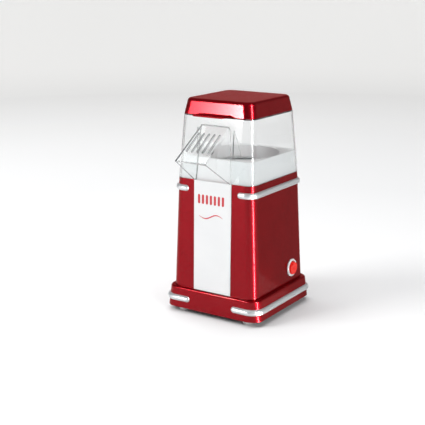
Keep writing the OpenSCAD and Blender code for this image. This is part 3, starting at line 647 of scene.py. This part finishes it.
# %% [markdown]
# ## The clear chute
#
# The block minus its inside leaves a roof and two thin sides, open below. The tower
# is cut away where the hood stands, and so is all that hangs below the hood's rim. The
# five vent slots are long bars with round ends, laid on the slope and cut through.

# %% The chute with its vent slots
SLOT_W, SLOT_PITCH, SLOT_COUNT = 2.0, 8.4, 5
SLOT_SPAN = (0.235, 0.74)
SLOT_BAR_H, SLOT_BAR_SUNK = 10, 6
roof_l = (CHUTE_REACH + ROOT_Y) / math.cos(ROOF_ANGLE)


def slot_bars():
    """Five upright bars with round ends, laid on the chute's roof."""
    bm = bmesh.new()
    start, end = (share * roof_l for share in SLOT_SPAN)
    for i in range(SLOT_COUNT):
        verts = bmesh.ops.create_grid(bm, x_segments=1, y_segments=1, size=0.5 * MM)["verts"]
        bmesh.ops.scale(bm, vec=(SLOT_W, end - start, 1), verts=verts)
        before = set(bm.faces) - set(verts[0].link_faces)
        round_off(bm, verts, 0.49 * SLOT_W * MM, 6, "VERTICES")
        face = next(f for f in bm.faces if f not in before)
        made = bmesh.ops.extrude_face_region(bm, geom=[face])["geom"]
        bmesh.ops.translate(bm, vec=(0, 0, SLOT_BAR_H * MM), verts=points_of(made))
        bar = [v for f in bm.faces if f not in before for v in f.verts]
        root = spot((i - (SLOT_COUNT - 1) / 2) * SLOT_PITCH, ROOT_Y, ROOT_Z)
        tilt = Matrix.Rotation(ROOF_ANGLE, 4, "X")
        shift = Matrix.Translation(Vector((0, -(start + end) / 2, -SLOT_BAR_SUNK)) * MM)
        bmesh.ops.transform(bm, matrix=Matrix.Translation(root) @ tilt @ shift,
                            verts=list(set(bar)))
    bmesh.ops.recalc_face_normals(bm, faces=bm.faces)
    return bm


chute = chute_block(0, ROOT_Y + HOOD_WALL + PAST_WALL + 2, -CHUTE_REACH, OUTSIDE_DROP)
chute = combine(chute, chute_inside())
chute = combine(chute, tower([(WAIST_Z, 0, 0, WAIST_Z - 20), (WAIST_Z, 0), (CAP_Z, 0)]))
chute = combine(chute, block((-60, -130, 100), (60, 0, WAIST_Z)))
chute = combine(chute, slot_bars(), cut_slot=1)
finish_piece(chute, "chute_shell", "clear_plastic", "hood", ["chute"], bevel=0.3 * MM)

# %% [markdown]
# ## The white collar
#
# The collar closes the tower below the hood and leads the corn into the popping
# chamber. Its skirt is a tower skin; its funnel is a thin section spun round the
# axis; and the two are joined into one moulding.

# %% The collar's skirt and funnel
SKIRT_Z, COLLAR_WALL, COLLAR_INSET = 172, 2.2, 2.8
CHAMBER_R, MOUTH_Z = 41.0, 206.5
FAR_BELOW, FAR_ABOVE = 150, 240
FUNNEL_R = at(WIDTHS, COLLAR_TOP) / 2 - COLLAR_INSET - COLLAR_WALL


def spun(points, closed, axis=(0, 0, 1), steps=96):
    """Points joined in a row, or in a ring if closed, and spun a full turn about an axis
    through x = 0, z = 0 and the y of the first point."""
    bm = bmesh.new()
    verts = [bm.verts.new(point) for point in points]
    lines = [bm.edges.new(pair) for pair in zip(verts, verts[1:])]
    if closed:
        lines.append(bm.edges.new((verts[-1], verts[0])))
    bmesh.ops.spin(bm, geom=verts + lines, cent=(0, points[0][1], 0), axis=axis,
                   angle=2 * math.pi, steps=steps, use_merge=True)
    bmesh.ops.remove_doubles(bm, verts=bm.verts, dist=0.001 * MM)
    return bm


def lathe(profile, steps=128):
    """A section of (radius, height) points, spun round the tower's axis. A section that
    starts on the axis is a solid and needs no closing line."""
    bm = spun([(r * MM, AXIS_Y, z * MM) for r, z in profile], profile[0][0] > 0, steps=steps)
    bmesh.ops.recalc_face_normals(bm, faces=bm.faces)
    return bm


collar = tower([(SKIRT_Z, COLLAR_INSET), (WAIST_Z, COLLAR_INSET), (COLLAR_TOP, COLLAR_INSET)])
inner_top = COLLAR_TOP - COLLAR_WALL
deep = COLLAR_INSET + COLLAR_WALL
collar = combine(collar, tower([(SKIRT_Z, deep, 0, SKIRT_Z - 1), (WAIST_Z, deep),
                                (inner_top, deep)]))
collar = combine(collar, lathe([(0, FAR_BELOW), (FUNNEL_R, FAR_BELOW), (FUNNEL_R, FAR_ABOVE),
                                (0, FAR_ABOVE)]))
under_mouth, almost_top = MOUTH_Z - COLLAR_WALL, COLLAR_TOP - 0.01
funnel = lathe([(CHAMBER_R, under_mouth), (CHAMBER_R + 6.5, under_mouth),
                (FUNNEL_R + 0.5, inner_top - 0.5), (FUNNEL_R + 0.5, almost_top),
                (FUNNEL_R - 0.2, almost_top), (CHAMBER_R, MOUTH_Z)])
collar = combine(collar, funnel, "UNION")
finish_piece(collar, "collar_moulding", "white_plastic", "base", ["collar"], bevel=0.8 * MM)

# %% [markdown]
# ## The popping chamber
#
# A deep cup of spun aluminium, with a raised cone in its floor and a row of slanted
# vents just above it that make the corn swirl. The cup is a lathe shape, and the
# vents are thin blocks, turned about the axis and cut out in one go.

# %% The chamber and its vents
FLOOR_Z, FLANGE_Z, FLANGE_R = 128.5, 203.3, 50.3
VENTS, VENT_SIZE, VENT_SLANT = 18, (10, 1.2, 6), math.radians(45)
inside = [(0, 134.5), (10, 133.2), (CHAMBER_R - 14, FLOOR_Z + 0.4), (CHAMBER_R - 5, FLOOR_Z),
          (CHAMBER_R - 1.5, FLOOR_Z + 1.5), (CHAMBER_R, FLOOR_Z + 5), (CHAMBER_R, FLANGE_Z + 1)]
flange = [(FLANGE_R, FLANGE_Z + 1), (FLANGE_R, FLANGE_Z), (CHAMBER_R + 1, FLANGE_Z)]
outside = [(CHAMBER_R + 1, FLOOR_Z + 4.6), (CHAMBER_R - 0.8, FLOOR_Z + 0.8),
           (CHAMBER_R - 4.6, FLOOR_Z - 1), (CHAMBER_R - 14, FLOOR_Z - 0.6), (10, 132.2), (0, 133.5)]
chamber = lathe(inside + flange + outside)
vents = bmesh.new()
for i in range(VENTS):
    cube = bmesh.ops.create_cube(vents, size=MM)["verts"]
    stand = (Matrix.Translation((0, AXIS_Y, (FLOOR_Z + 8) * MM))
             @ Matrix.Rotation(2 * math.pi * i / VENTS, 4, "Z")
             @ Matrix.Translation(((CHAMBER_R + 0.5) * MM, 0, 0))
             @ Matrix.Rotation(VENT_SLANT, 4, "Z") @ Matrix.Diagonal((*VENT_SIZE, 1)))
    bmesh.ops.transform(vents, matrix=stand, verts=cube)
chamber = combine(chamber, vents)
finish_piece(chamber, "chamber_cup", "aluminium", "base", ["popping_chamber"], bevel=0)

# %% [markdown]
# ## The body shell
#
# Four leaning walls in one moulding, with a round hole for the switch and a square
# one for the cord's bush. Behind the front panel its rim steps down, out of sight. The
# switch has a frame of its own that leans with the wall, so the hole, the bezel and the
# rocker all line up.

# %% The shell and its holes
SHELL_WALL = 2.5
WALL_LEAN = math.atan((at(WIDTHS, BODY_Z) - at(WIDTHS, WAIST_Z)) / 2 / (WAIST_Z - BODY_Z))
SWITCH_Z, SWITCH_BACK, SWITCH_HOLE_R = 56, 32.5, 11.0
switch_spot = (Matrix.Translation(spot(at(WIDTHS, SWITCH_Z) / 2, SWITCH_BACK, SWITCH_Z))
               @ Matrix.Rotation(-WALL_LEAN, 4, "Y"))
GLAND_Z, GLAND_D, GLAND_GAP = 52, 12.0, 0.3
RIM_STEP_W, RIM_STEP_H = 58.8, 0.7
gland_y = at(DEPTHS, GLAND_Z) / 2


def switch_rod(radius, start, end, steps=96):
    """A round rod along the switch's axis, from start to end, closed at both ends."""
    bm = bmesh.new()
    verts = bmesh.ops.create_cone(bm, cap_ends=True, segments=steps, radius1=radius * MM,
                                  radius2=radius * MM, depth=(end - start) * MM)["verts"]
    lay = Matrix.Translation(((start + end) / 2 * MM, 0, 0)) @ Matrix.Rotation(math.pi / 2, 4, "Y")
    bmesh.ops.transform(bm, matrix=lay, verts=verts)
    return bm


shell = tower([(BODY_Z, 0), (WAIST_Z, 0), (WAIST_Z, SHELL_WALL), (BODY_Z, SHELL_WALL)], closed=True)
hole = switch_rod(SWITCH_HOLE_R, -20, 20)
bmesh.ops.transform(hole, matrix=switch_spot, verts=hole.verts)
shell = combine(shell, hole)
half_hole = GLAND_D / 2 + GLAND_GAP
shell = combine(shell, block((-half_hole, gland_y - 20, GLAND_Z - half_hole),
                             (half_hole, gland_y + 20, GLAND_Z + half_hole)))
rim_front = -at(DEPTHS, WAIST_Z) / 2
shell = combine(shell, block((-RIM_STEP_W / 2, rim_front - 1, WAIST_Z - RIM_STEP_H),
                             (RIM_STEP_W / 2, rim_front + 5, WAIST_Z + 1)))
finish_piece(shell, "body_moulding", "red_gloss", "base", ["body_shell"], bevel=0.6 * MM)

# %% [markdown]
# ## The plinth
#
# A wider skirt with a soft shoulder, a flat ledge round the shell, a low rib that
# locates the shell and an open underside. As on the hood, the whole section is one
# ring of outlines.

# %% The plinth's skirt, shoulder and rib
PLINTH_EDGE_R, PLINTH_MORE_R = 2.5, 3.0
LOCATOR_OUT, LOCATOR_IN, LOCATOR_H = 2.8, 4.8, 4
shoulder = BODY_Z - PLINTH_EDGE_R
rows = [(PLINTH_Z, 0.4, PLINTH_MORE_R), (PLINTH_Z, 0, PLINTH_MORE_R, PLINTH_Z + 0.4)]
rows += quarter_round(shoulder, 0, PLINTH_EDGE_R, PLINTH_MORE_R)
locator_top = BODY_Z + LOCATOR_H
rows += [(BODY_Z, LOCATOR_OUT, 0), (BODY_Z, LOCATOR_OUT, 0, locator_top),
         (BODY_Z, LOCATOR_IN, 0, locator_top), (BODY_Z, LOCATOR_IN, 0, BODY_Z - SHELL_WALL),
         (shoulder, SHELL_WALL + 1, PLINTH_MORE_R, BODY_Z - SHELL_WALL),
         (shoulder, SHELL_WALL, PLINTH_MORE_R, BODY_Z - SHELL_WALL - 1),
         (PLINTH_Z, SHELL_WALL, PLINTH_MORE_R)]
plinth = tower(rows, closed=True)
finish_piece(plinth, "plinth_moulding", "red_gloss", "base", ["plinth"], bevel=0)

# %% [markdown]
# ## The silver bands
#
# A half-round trim runs round the back and both sides and ends on the front in two
# domed tips. The long part is a row of outlines that swell out and back. The front is
# cut away at both tips, and half of the open section is then spun half a turn, which
# closes the end with exactly the dome that a half-round bar has.

# %% A helper for the bands
BAND_H, BAND_PROUD, BAND_STEPS = 8.4, 3.4, 16
BAND_SUNK, BAND_SWELL = 0.3, 1.08


def trim_band(z, tip, more_r, name, node):
    """One band whose domed ends reach to tip either side of the middle."""
    half = BAND_H / 2
    bm = bmesh.new()
    rows = []
    for k in range(BAND_STEPS + 1):
        turn = math.radians(-90 + 180 * k / BAND_STEPS)
        inset = BAND_SUNK - BAND_PROUD * math.cos(turn) * BAND_SWELL
        rows.append(outline(bm, z + half * math.sin(turn), inset, more_r))
    skin(bm, rows, closed=True)
    stop = (tip + half) * MM
    for x in (-stop, stop):
        bmesh.ops.bisect_plane(bm, geom=bm.verts[:] + bm.edges[:] + bm.faces[:], dist=0.001 * MM,
                               plane_co=(x, 0, 0), plane_no=(1, 0, 0))
    in_gap = [f for f in bm.faces if abs(f.calc_center_median().x) < stop
              and f.calc_center_median().y < AXIS_Y]
    bmesh.ops.delete(bm, geom=in_gap, context="FACES")
    for x in (-stop, stop):
        ends = [e for e in bm.edges if e.is_boundary
                and all(abs(v.co.x - x) < 0.01 * MM for v in e.verts)]
        back_y = max(v.co.y for e in ends for v in e.verts)
        upper_arc = [e for e in ends if min(v.co.y for v in e.verts) < back_y - 0.3 * MM
                     and min(v.co.z for v in e.verts) > (z - 0.01) * MM]
        bmesh.ops.spin(bm, geom=upper_arc + list({v for e in upper_arc for v in e.verts}),
                       cent=(x, 0, z * MM), axis=(0, 1, 0), angle=-math.copysign(math.pi, x),
                       steps=24, use_duplicate=False)
    bmesh.ops.remove_doubles(bm, verts=bm.verts, dist=0.15 * MM)
    bmesh.ops.holes_fill(bm, edges=[e for e in bm.edges if e.is_boundary], sides=0)
    print("open edges left:", sum(e.is_boundary for e in bm.edges))
    finish_piece(bm, name, "trim_silver", "base", [node], bevel=0, fold=50)


# %% [markdown]
# ### Where the two bands lie
#
# The upper band lies on the shell below the hood, and its tips leave room for the white
# panel. The lower band lies on the plinth, so it takes the plinth's rounder corners. One
# helper makes both, so they can't come to differ in their section.

# %% The two bands
trim_band(176.8, 39.2, 0, "upper_band", "upper_trim_band")
trim_band(20.4, 34, PLINTH_MORE_R, "lower_band", "lower_trim_band")

# %% [markdown]
# ## The front panel
#
# A white plate on the front wall. It leans with the wall, so it is a cube whose eight
# corners are moved to the wall's place, with soft edges.

# %% The panel
PANEL_W, PANEL_T, PANEL_GAP = 59.2, 1.5, 0.3


def front_y(z):
    """The front wall's outer face at a height."""
    return -at(DEPTHS, z) / 2


panel = bmesh.new()
bmesh.ops.create_cube(panel, size=2)
for v in panel.verts:
    z = WAIST_Z if v.co.z > 0 else BODY_Z + PANEL_GAP
    y = front_y(z) - (PANEL_T if v.co.y < 0 else -0.01)
    v.co = spot(math.copysign(PANEL_W / 2, v.co.x), y, z)
finish_piece(panel, "panel_plate", "white_plastic", "base", ["front_panel"], bevel=0.5 * MM)

# %% [markdown]
# ## The printed motif
#
# A plain red motif dresses the panel: a row of bars like a popcorn bag's stripes, over a
# swash line that is thick in its middle. An image could print it, but thin geometry
# stays sharp at any distance. It is drawn flat, laid on the leaning wall and raised by
# the thickness of the ink.

# %% A plain red motif on the panel
BAR_W, BAR_H, BAR_PITCH, BARS, MOTIF_Z, MOTIF_X = 3.6, 13.0, 6.4, 7, 165.0, -2.0
SWASH_L, SWASH_Z, SWASH_SWING, INK_T = 38.0, 142.0, 3.2, 0.06
SWASH_THIN, SWASH_SWELL = 0.5, 1.3
motif = bmesh.new()
for i in range(BARS):
    verts = bmesh.ops.create_grid(motif, x_segments=1, y_segments=1, size=0.5)["verts"]
    bmesh.ops.scale(motif, vec=(BAR_W, BAR_H, 1), verts=verts)
    bar_x = MOTIF_X + (i - (BARS - 1) / 2) * BAR_PITCH
    bmesh.ops.translate(motif, vec=(bar_x, MOTIF_Z, 0), verts=verts)
    round_off(motif, verts, 0.49 * BAR_W, 8, "VERTICES")
verts = bmesh.ops.create_grid(motif, x_segments=48, y_segments=1, size=0.5)["verts"]
for v in verts:
    turn = 2 * math.pi * v.co.x
    thick = SWASH_THIN + SWASH_SWELL * math.cos(turn / 2)
    v.co.y = SWASH_Z + v.co.y * thick + SWASH_SWING * math.sin(turn)
    v.co.x = MOTIF_X + SWASH_L * v.co.x
for v in motif.verts:
    v.co = spot(v.co.x, front_y(v.co.y) - PANEL_T - 0.01, v.co.y)
raised = bmesh.ops.extrude_face_region(motif, geom=motif.faces[:])["geom"]
bmesh.ops.translate(motif, vec=(0, -INK_T * MM, 0), verts=points_of(raised))
finish_piece(motif, "panel_motif", "white_plastic", "base", bevel=0, finish=print_ink)

# %% [markdown]
# ## The switch's bezel
#
# The switch snaps into the shell's hole: a white bezel with a barrel behind it that holds
# the rocker. Both are one turned shape, so a section is spun about the switch's axis and
# then leaned with the wall.

# %% The bezel and its barrel
BEZEL_T, BEZEL_R, BARREL_L, BARREL_R, CAVITY_R = 2.4, 12.5, 14, 10.85, 9.65
bezel_section = [(-BARREL_L, 0), (-BARREL_L, BARREL_R), (0.05, BARREL_R), (0.05, BEZEL_R - 0.3),
                 (0.35, BEZEL_R), (1.1, BEZEL_R), (1.8, BEZEL_R - 0.4), (2.25, BEZEL_R - 1.1),
                 (BEZEL_T, BEZEL_R - 1.7), (BEZEL_T, CAVITY_R + 0.35), (2.1, CAVITY_R),
                 (-BARREL_L + 2, CAVITY_R), (-BARREL_L + 2, 0)]
bezel = spun([(x * MM, 0, r * MM) for x, r in bezel_section], False, axis=(1, 0, 0))
bmesh.ops.transform(bezel, matrix=switch_spot, verts=bezel.verts)
finish_piece(bezel, "switch_bezel", "white_plastic", "base", ["switch_housing"], bevel=0, fold=60)

# %% [markdown]
# ## The rocker
#
# The red cap's face is hollow, so that a finger finds it. A rod is cut in two across its
# middle, the line between the halves is sunk into a valley, and the valley is rounded. It
# stands tilted about its pin, as a rocker does when it has been pressed to one side.

# %% The rocker
PIVOT_IN, ROCKER_R, ROCKER_TILT, HOLLOW = 2.0, 8.7, math.radians(7), 1.6
ROCKER_PROUD, ROCKER_BACK, VALLEY_ROUND = 2.6, 0.8, 4.5
ROCKER_FACE = BEZEL_T + ROCKER_PROUD + PIVOT_IN
rocker_spot = (switch_spot @ Matrix.Translation((-PIVOT_IN * MM, 0, 0))
               @ Matrix.Rotation(ROCKER_TILT, 4, "Y"))
rocker = switch_rod(ROCKER_R, -ROCKER_BACK, ROCKER_FACE)
bmesh.ops.bisect_plane(rocker, geom=rocker.verts[:] + rocker.edges[:] + rocker.faces[:],
                       dist=0.001 * MM, plane_co=(0, 0, 0), plane_no=(0, 0, 1))
valley = [e for e in rocker.edges if all(abs(v.co.z) < 0.01 * MM and v.co.x > 0 for v in e.verts)]
bmesh.ops.translate(rocker, vec=(-HOLLOW * MM, 0, 0),
                    verts=list({v for e in valley for v in e.verts}))
round_off(rocker, valley, VALLEY_ROUND * MM, 8)
bmesh.ops.transform(rocker, matrix=rocker_spot, verts=rocker.verts)
finish_piece(rocker, "rocker_cap", "rocker_red", "rocker", ["switch_rocker"], bevel=0.5 * MM)

# %% [markdown]
# ### The on and off marks
#
# A short bar and a ring are the usual signs for on and off. The bar is a flat block. The
# ring is a small circle, spun about the switch's axis and pressed flat. Both are turned
# to the slope of their half of the rocker's face.

# %% The on and off marks
MARK_Z, BAR_SIZE = 5.0, (0.3, 0.75, 3.2)
RING_R, RING_TUBE_R, RING_PRESS = 1.4, 0.33, 0.5
slope = math.atan(HOLLOW / ROCKER_R)
marks = bmesh.new()
bar = bmesh.ops.create_cube(marks, size=MM)["verts"]
bmesh.ops.scale(marks, vec=BAR_SIZE, verts=bar)
face_x = ROCKER_FACE - HOLLOW + HOLLOW * MARK_Z / ROCKER_R
bmesh.ops.transform(marks, verts=bar, matrix=Matrix.Translation((face_x * MM, 0, MARK_Z * MM))
                    @ Matrix.Rotation(slope, 4, "Y"))
bar_verts = set(bar)
bmesh.ops.create_circle(marks, segments=12, radius=RING_TUBE_R * MM, cap_ends=False)
tube = [v for v in marks.verts if v not in bar_verts]
bmesh.ops.translate(marks, vec=(0, RING_R * MM, 0), verts=tube)
tube_lines = [e for e in marks.edges if e.verts[0] in tube]
bmesh.ops.spin(marks, geom=tube + tube_lines, cent=(0, 0, 0), axis=(1, 0, 0), angle=2 * math.pi,
               steps=36, use_merge=True)
ring = [v for v in marks.verts if v not in bar_verts]
bmesh.ops.transform(marks, verts=ring, matrix=Matrix.Translation((face_x * MM, 0, -MARK_Z * MM))
                    @ Matrix.Rotation(-slope, 4, "Y") @ Matrix.Diagonal((RING_PRESS, 1, 1, 1)))
bmesh.ops.transform(marks, matrix=rocker_spot, verts=marks.verts)
finish_piece(marks, "rocker_marks", "white_plastic", "rocker", bevel=0, finish=pale_ink)

# %% [markdown]
# ## The feet
#
# Four round rubber feet with a soft lower edge, a recess for the screw's head and a hole
# for its shaft. One section holds all of that, so each foot is spun and moved to its
# corner, and the four are gathered in one mesh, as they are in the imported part.

# %% The four feet
FEET_X, FEET_Y, FOOT_R, FOOT_H = 52.5, 60.0, 7.5, 8
RECESS_R, RECESS_H, SHAFT_R = 3.8, 3.5, 1.95
feet = bmesh.new()
for x in (-FEET_X, FEET_X):
    for y in (-FEET_Y, FEET_Y):
        foot = lathe([(RECESS_R, 0), (FOOT_R - 1.2, 0), (FOOT_R - 0.3, 0.5), (FOOT_R, 1.3),
                      (FOOT_R, FOOT_H), (SHAFT_R, FOOT_H), (SHAFT_R, RECESS_H),
                      (RECESS_R, RECESS_H)], 64)
        bmesh.ops.translate(foot, vec=(x * MM, y * MM, 0), verts=foot.verts)
        held = bpy.data.meshes.new("foot")
        foot.to_mesh(held)
        foot.free()
        feet.from_mesh(held)
        bpy.data.meshes.remove(held)
finish_piece(feet, "rubber_feet", "white_rubber", "base", ["feet"], bevel=0)

# %% [markdown]
# ## The cord's bush
#
# A black rubber bush in the rear wall keeps the cord from chafing. It is square where it
# passes through the shell, so that it can't turn, and has a round flange, a raised nose
# and a bore for the cord. Exact unions and one cut build it from a block and rods.

# %% The cord's bush
BORE_R, BUSH_FLANGE_R, NOSE_R, GLAND_IN, GLAND_OUT = 3.7, 10.0, 6.2, 8.0, 3.0


def bush_rod(radius, start, end):
    """A round rod along the bush's axis, which points out of the rear wall."""
    bm = bmesh.new()
    verts = bmesh.ops.create_cone(bm, cap_ends=True, segments=96, radius1=radius * MM,
                                  radius2=radius * MM, depth=(end - start) * MM)["verts"]
    middle = spot(0, gland_y + (start + end) / 2, GLAND_Z)
    lay = Matrix.Translation(middle) @ Matrix.Rotation(math.pi / 2, 4, "X")
    bmesh.ops.transform(bm, matrix=lay, verts=verts)
    return bm


half_bush = GLAND_D / 2
bush = block((-half_bush, gland_y - GLAND_IN, GLAND_Z - half_bush),
             (half_bush, gland_y + 1, GLAND_Z + half_bush))
bush = combine(bush, bush_rod(BUSH_FLANGE_R, 0.4, GLAND_OUT - 0.6), "UNION")
bush = combine(bush, bush_rod(NOSE_R, 0.5, GLAND_OUT), "UNION")
bush = combine(bush, bush_rod(BORE_R, -GLAND_IN - 1, GLAND_OUT + 1))
finish_piece(bush, "cord_bush", "black_rubber", "base", ["cord_gland"], bevel=0.5 * MM)

# %% [markdown]
# ## Finishes on the parts that stay
#
# The remaining parts have the right shape already. Each takes the finish of its slot
# in the record.

# %% Give every remaining part its finish
stays = {row["node"]: row["material_slot"] for row in frame["record"]["subparts"]}
for name, part in frame["nodes"].items():
    if not part.hide_render:
        part.data.materials.clear()
        part.data.materials.append(FINISH[stays[name]].material)
print("parts that stay:", sum(not part.hide_render for part in frame["nodes"].values()))

# %% [markdown]
# ## The studio
#
# The floor is a pale disc, and round it a wall curves up as a photographer's paper
# roll does, so no horizon shows from any side. The wall is one bent line, spun about
# the tower. It stays out of reflections and of the light that surfaces pass on: the
# glossy lid would else mirror it and lose its colour.

# %% The floor and the wall round it
FLOOR_R, SWEEP_R, WALL_TOP, SWEEP_STEPS = 2.4, 1.2, 4.6, 16
GLOW_FROM, GLOW_RISE = 0.8, 0.5
paper = Finish("pale_paper", {"Roughness": 0.9, "Specular IOR Level": 0.0,
                              "Emission Strength": 1.0})
tone = paper.noise(0.8, 2.0)
distance = Value(paper.tree, paper.add("ShaderNodeVectorMath", {"operation": "LENGTH"},
                                       {0: paper.place}).outputs["Value"])
glow_share = ((distance - GLOW_FROM) * GLOW_RISE).math("MAXIMUM", 0.0).math("MINIMUM", 1.0)
paper.feed({"Base Color": paper.mix(tone, rgb(0.84, 0.84, 0.84), rgb(0.88, 0.88, 0.88)),
            "Emission Color": paper.mix(glow_share, rgb(0, 0, 0), rgb(0.30, 0.295, 0.28))})


def stage_sheet(bm, name):
    """A smooth sheet of the studio's paper, centred on the tower's axis."""
    bmesh.ops.translate(bm, vec=(0, AXIS_Y, 0), verts=bm.verts)
    for face in bm.faces:
        face.smooth = True
    thing = mesh_object(bm, name)
    thing.data.materials.append(paper.material)
    return thing


floor = bmesh.new()
bmesh.ops.create_circle(floor, cap_ends=True, segments=96, radius=FLOOR_R)
stage_sheet(floor, "floor")
turns = [math.radians(90 * k / SWEEP_STEPS) for k in range(SWEEP_STEPS + 1)]
bend = [(FLOOR_R + SWEEP_R * math.sin(turn), 0, SWEEP_R * (1 - math.cos(turn))) for turn in turns]
sweep = stage_sheet(spun(bend + [(FLOOR_R + SWEEP_R, 0, WALL_TOP)], False), "wall")
sweep.visible_glossy = sweep.visible_diffuse = False
print("floor", 2 * FLOOR_R, "m wide, wall", WALL_TOP, "m tall")

# %% [markdown]
# ## Panels that glow
#
# Gloss needs shapes to mirror. A strip at the right draws the thin line down the
# tower's corner. The lower parts mirror the floor, so the strip goes on along the floor
# towards the tower. A dim card at the back right keeps the right side from going black,
# and a reddish one straight behind is what the cap's flat top mirrors. The panels show
# only in reflections and light nothing, so they can be placed for those alone.


# %% Glowing panels
PANEL_DISTANCE = 1.5


def stand_at(bearing, height, about=(0, 0)):
    """Turns a mesh that lies flat into one that stands at a bearing from straight ahead,
    seen from a point near the tower's axis."""
    angle = math.radians(bearing)
    stand = Vector((math.sin(angle), -math.cos(angle), 0)) * PANEL_DISTANCE
    return (Matrix.Translation(stand + Vector((about[0], AXIS_Y + about[1], height)))
            @ Matrix.Rotation(angle, 4, "Z") @ Matrix.Rotation(math.pi / 2, 4, "X"))


def glow_panel(bm, name, glow, color=rgb(1, 1, 1)):
    """A panel that only direct reflections show. A ramp attribute shades its glow."""
    panel = mesh_object(bm, name)
    shine = Finish(name, {"Base Color": rgb(0, 0, 0), "Emission Strength": glow})
    ramp = shine.add("ShaderNodeAttribute", {"attribute_name": "ramp"}).outputs["Fac"]
    shine.feed({"Emission Color": shine.mix(ramp, rgb(0, 0, 0), color)})
    depth = shine.add("ShaderNodeLightPath").outputs["Diffuse Depth"]
    dark = shine.add("ShaderNodeBsdfTransparent")
    shown = shine.add("ShaderNodeMixShader", {}, {0: depth, 1: shine.shader.outputs[0],
                                                  2: dark.outputs[0]})
    shine.tree.links.new(shown.outputs[0], shine.tree.nodes["Material Output"].inputs["Surface"])
    panel.data.materials.append(shine.material)
    panel.visible_camera = panel.visible_diffuse = False
    panel.visible_transmission = panel.visible_shadow = False
    print(name, "glows with", glow)


def card(name, bearing, width, height, near, glow, color=rgb(1, 1, 1), about=(0, 0)):
    """A panel that goes on along the floor, in a wedge that ends near to the tower."""
    bm = bmesh.new()
    ramp = bm.verts.layers.float.new("ramp")
    verts = bmesh.ops.create_grid(bm, x_segments=1, y_segments=1, size=0.5)["verts"]
    bmesh.ops.translate(bm, vec=(0, 0.5, 0), verts=verts)
    bmesh.ops.scale(bm, vec=(width, height, 1), verts=verts)
    foot_line = [e for e in bm.edges if all(v.co.y < 0.001 for v in e.verts)]
    on_floor = bmesh.ops.extrude_edge_only(bm, edges=foot_line)["geom"]
    tip = points_of(on_floor)
    bmesh.ops.translate(bm, vec=(0, 0, near - PANEL_DISTANCE), verts=tip)
    bmesh.ops.scale(bm, vec=(near / PANEL_DISTANCE, 1, 1), verts=tip)
    for v in bm.verts:
        v[ramp] = 1
    bmesh.ops.transform(bm, matrix=stand_at(bearing, 0.001, about), verts=bm.verts)
    glow_panel(bm, name, glow, color)


card("strip", 76, width=0.26, height=1.6, near=0.025, glow=40.0, about=(0.055, -0.055))
card("right_card", 148, width=1.1, height=0.9, near=0.11, glow=0.42)
card("back_card", -147.6, width=1.6, height=1.2, near=1.2, glow=0.42,
     color=rgb(1.0, 0.36, 0.34))

# %% [markdown]
# ## The softbox
#
# A softbox at the front left glows brightest at its inner edge and hardly at all near
# the floor. So the cap's front, which leans back and mirrors its upper part, fades from
# pink to white, and the hood below it only gets a haze. The ramp is a number on each
# point of a fine grid, which the panel's shader reads.

# %% The softbox and its ramp
SOFTBOX_W, SOFTBOX_H, SOFTBOX_BEARING = 1.0, 0.75, -47.5
SOFTBOX_GLOW, SOFTBOX_DIM, LOW_SHARE, RAMP_POWER = 120.0, 0.005, 0.03, 13
LOW_TO, FULL_FROM = 0.25, 0.37
softbox = bmesh.new()
ramp_layer = softbox.verts.layers.float.new("ramp")
verts = bmesh.ops.create_grid(softbox, x_segments=32, y_segments=32, size=0.5)["verts"]
for v in verts:
    height = (v.co.y + 0.5) * SOFTBOX_H
    rise = min(max((height - LOW_TO) / (FULL_FROM - LOW_TO), 0), 1)
    across = (v.co.x + 0.5) ** RAMP_POWER
    v[ramp_layer] = SOFTBOX_DIM + across * (LOW_SHARE + (1 - LOW_SHARE) * rise)
bmesh.ops.scale(softbox, vec=(SOFTBOX_W, SOFTBOX_H, 1), verts=verts)
bmesh.ops.transform(softbox, matrix=stand_at(SOFTBOX_BEARING, SOFTBOX_H / 2), verts=verts)
glow_panel(softbox, "softbox", SOFTBOX_GLOW)

# %% [markdown]
# ## The lamps
#
# Three broad lamps light the matt surfaces: a key at the front left, a fill at the right
# and a large one overhead, which gives the soft shadow below the tower. They stay out of
# reflections, because the panels make those. The room adds a dim, cool glow.


# %% The lamps and the room's dim glow
LAMP_AIM_Z, ROOM_GLOW = 0.15, 0.15


def lamp(name, place, size, energy):
    """A square area light that points at the tower and stays out of reflections."""
    data = bpy.data.lights.new(name, "AREA")
    data.shape, data.size, data.energy = "SQUARE", size, energy
    thing = bpy.data.objects.new(name, data)
    thing.location = place
    thing.rotation_mode = "QUATERNION"
    aim = Vector((0, 0, LAMP_AIM_Z)) - Vector(place)
    thing.rotation_quaternion = aim.to_track_quat("-Z", "Y")
    thing.visible_camera = thing.visible_glossy = False
    scene.collection.objects.link(thing)


lamp("key", (-1.1, -1.3, 1.5), size=1.0, energy=29)
lamp("fill", (1.9, -0.7, 0.7), size=1.0, energy=20)
lamp("overhead", (-0.3, 0.3, 3.0), size=2.4, energy=74)
room = bpy.data.worlds.new("room")
room.use_nodes = True
air = room.node_tree.nodes["Background"]
air.inputs["Color"].default_value = rgb(0.93, 0.95, 1.0)
air.inputs["Strength"].default_value = ROOM_GLOW
scene.world = room
print("lights are up")
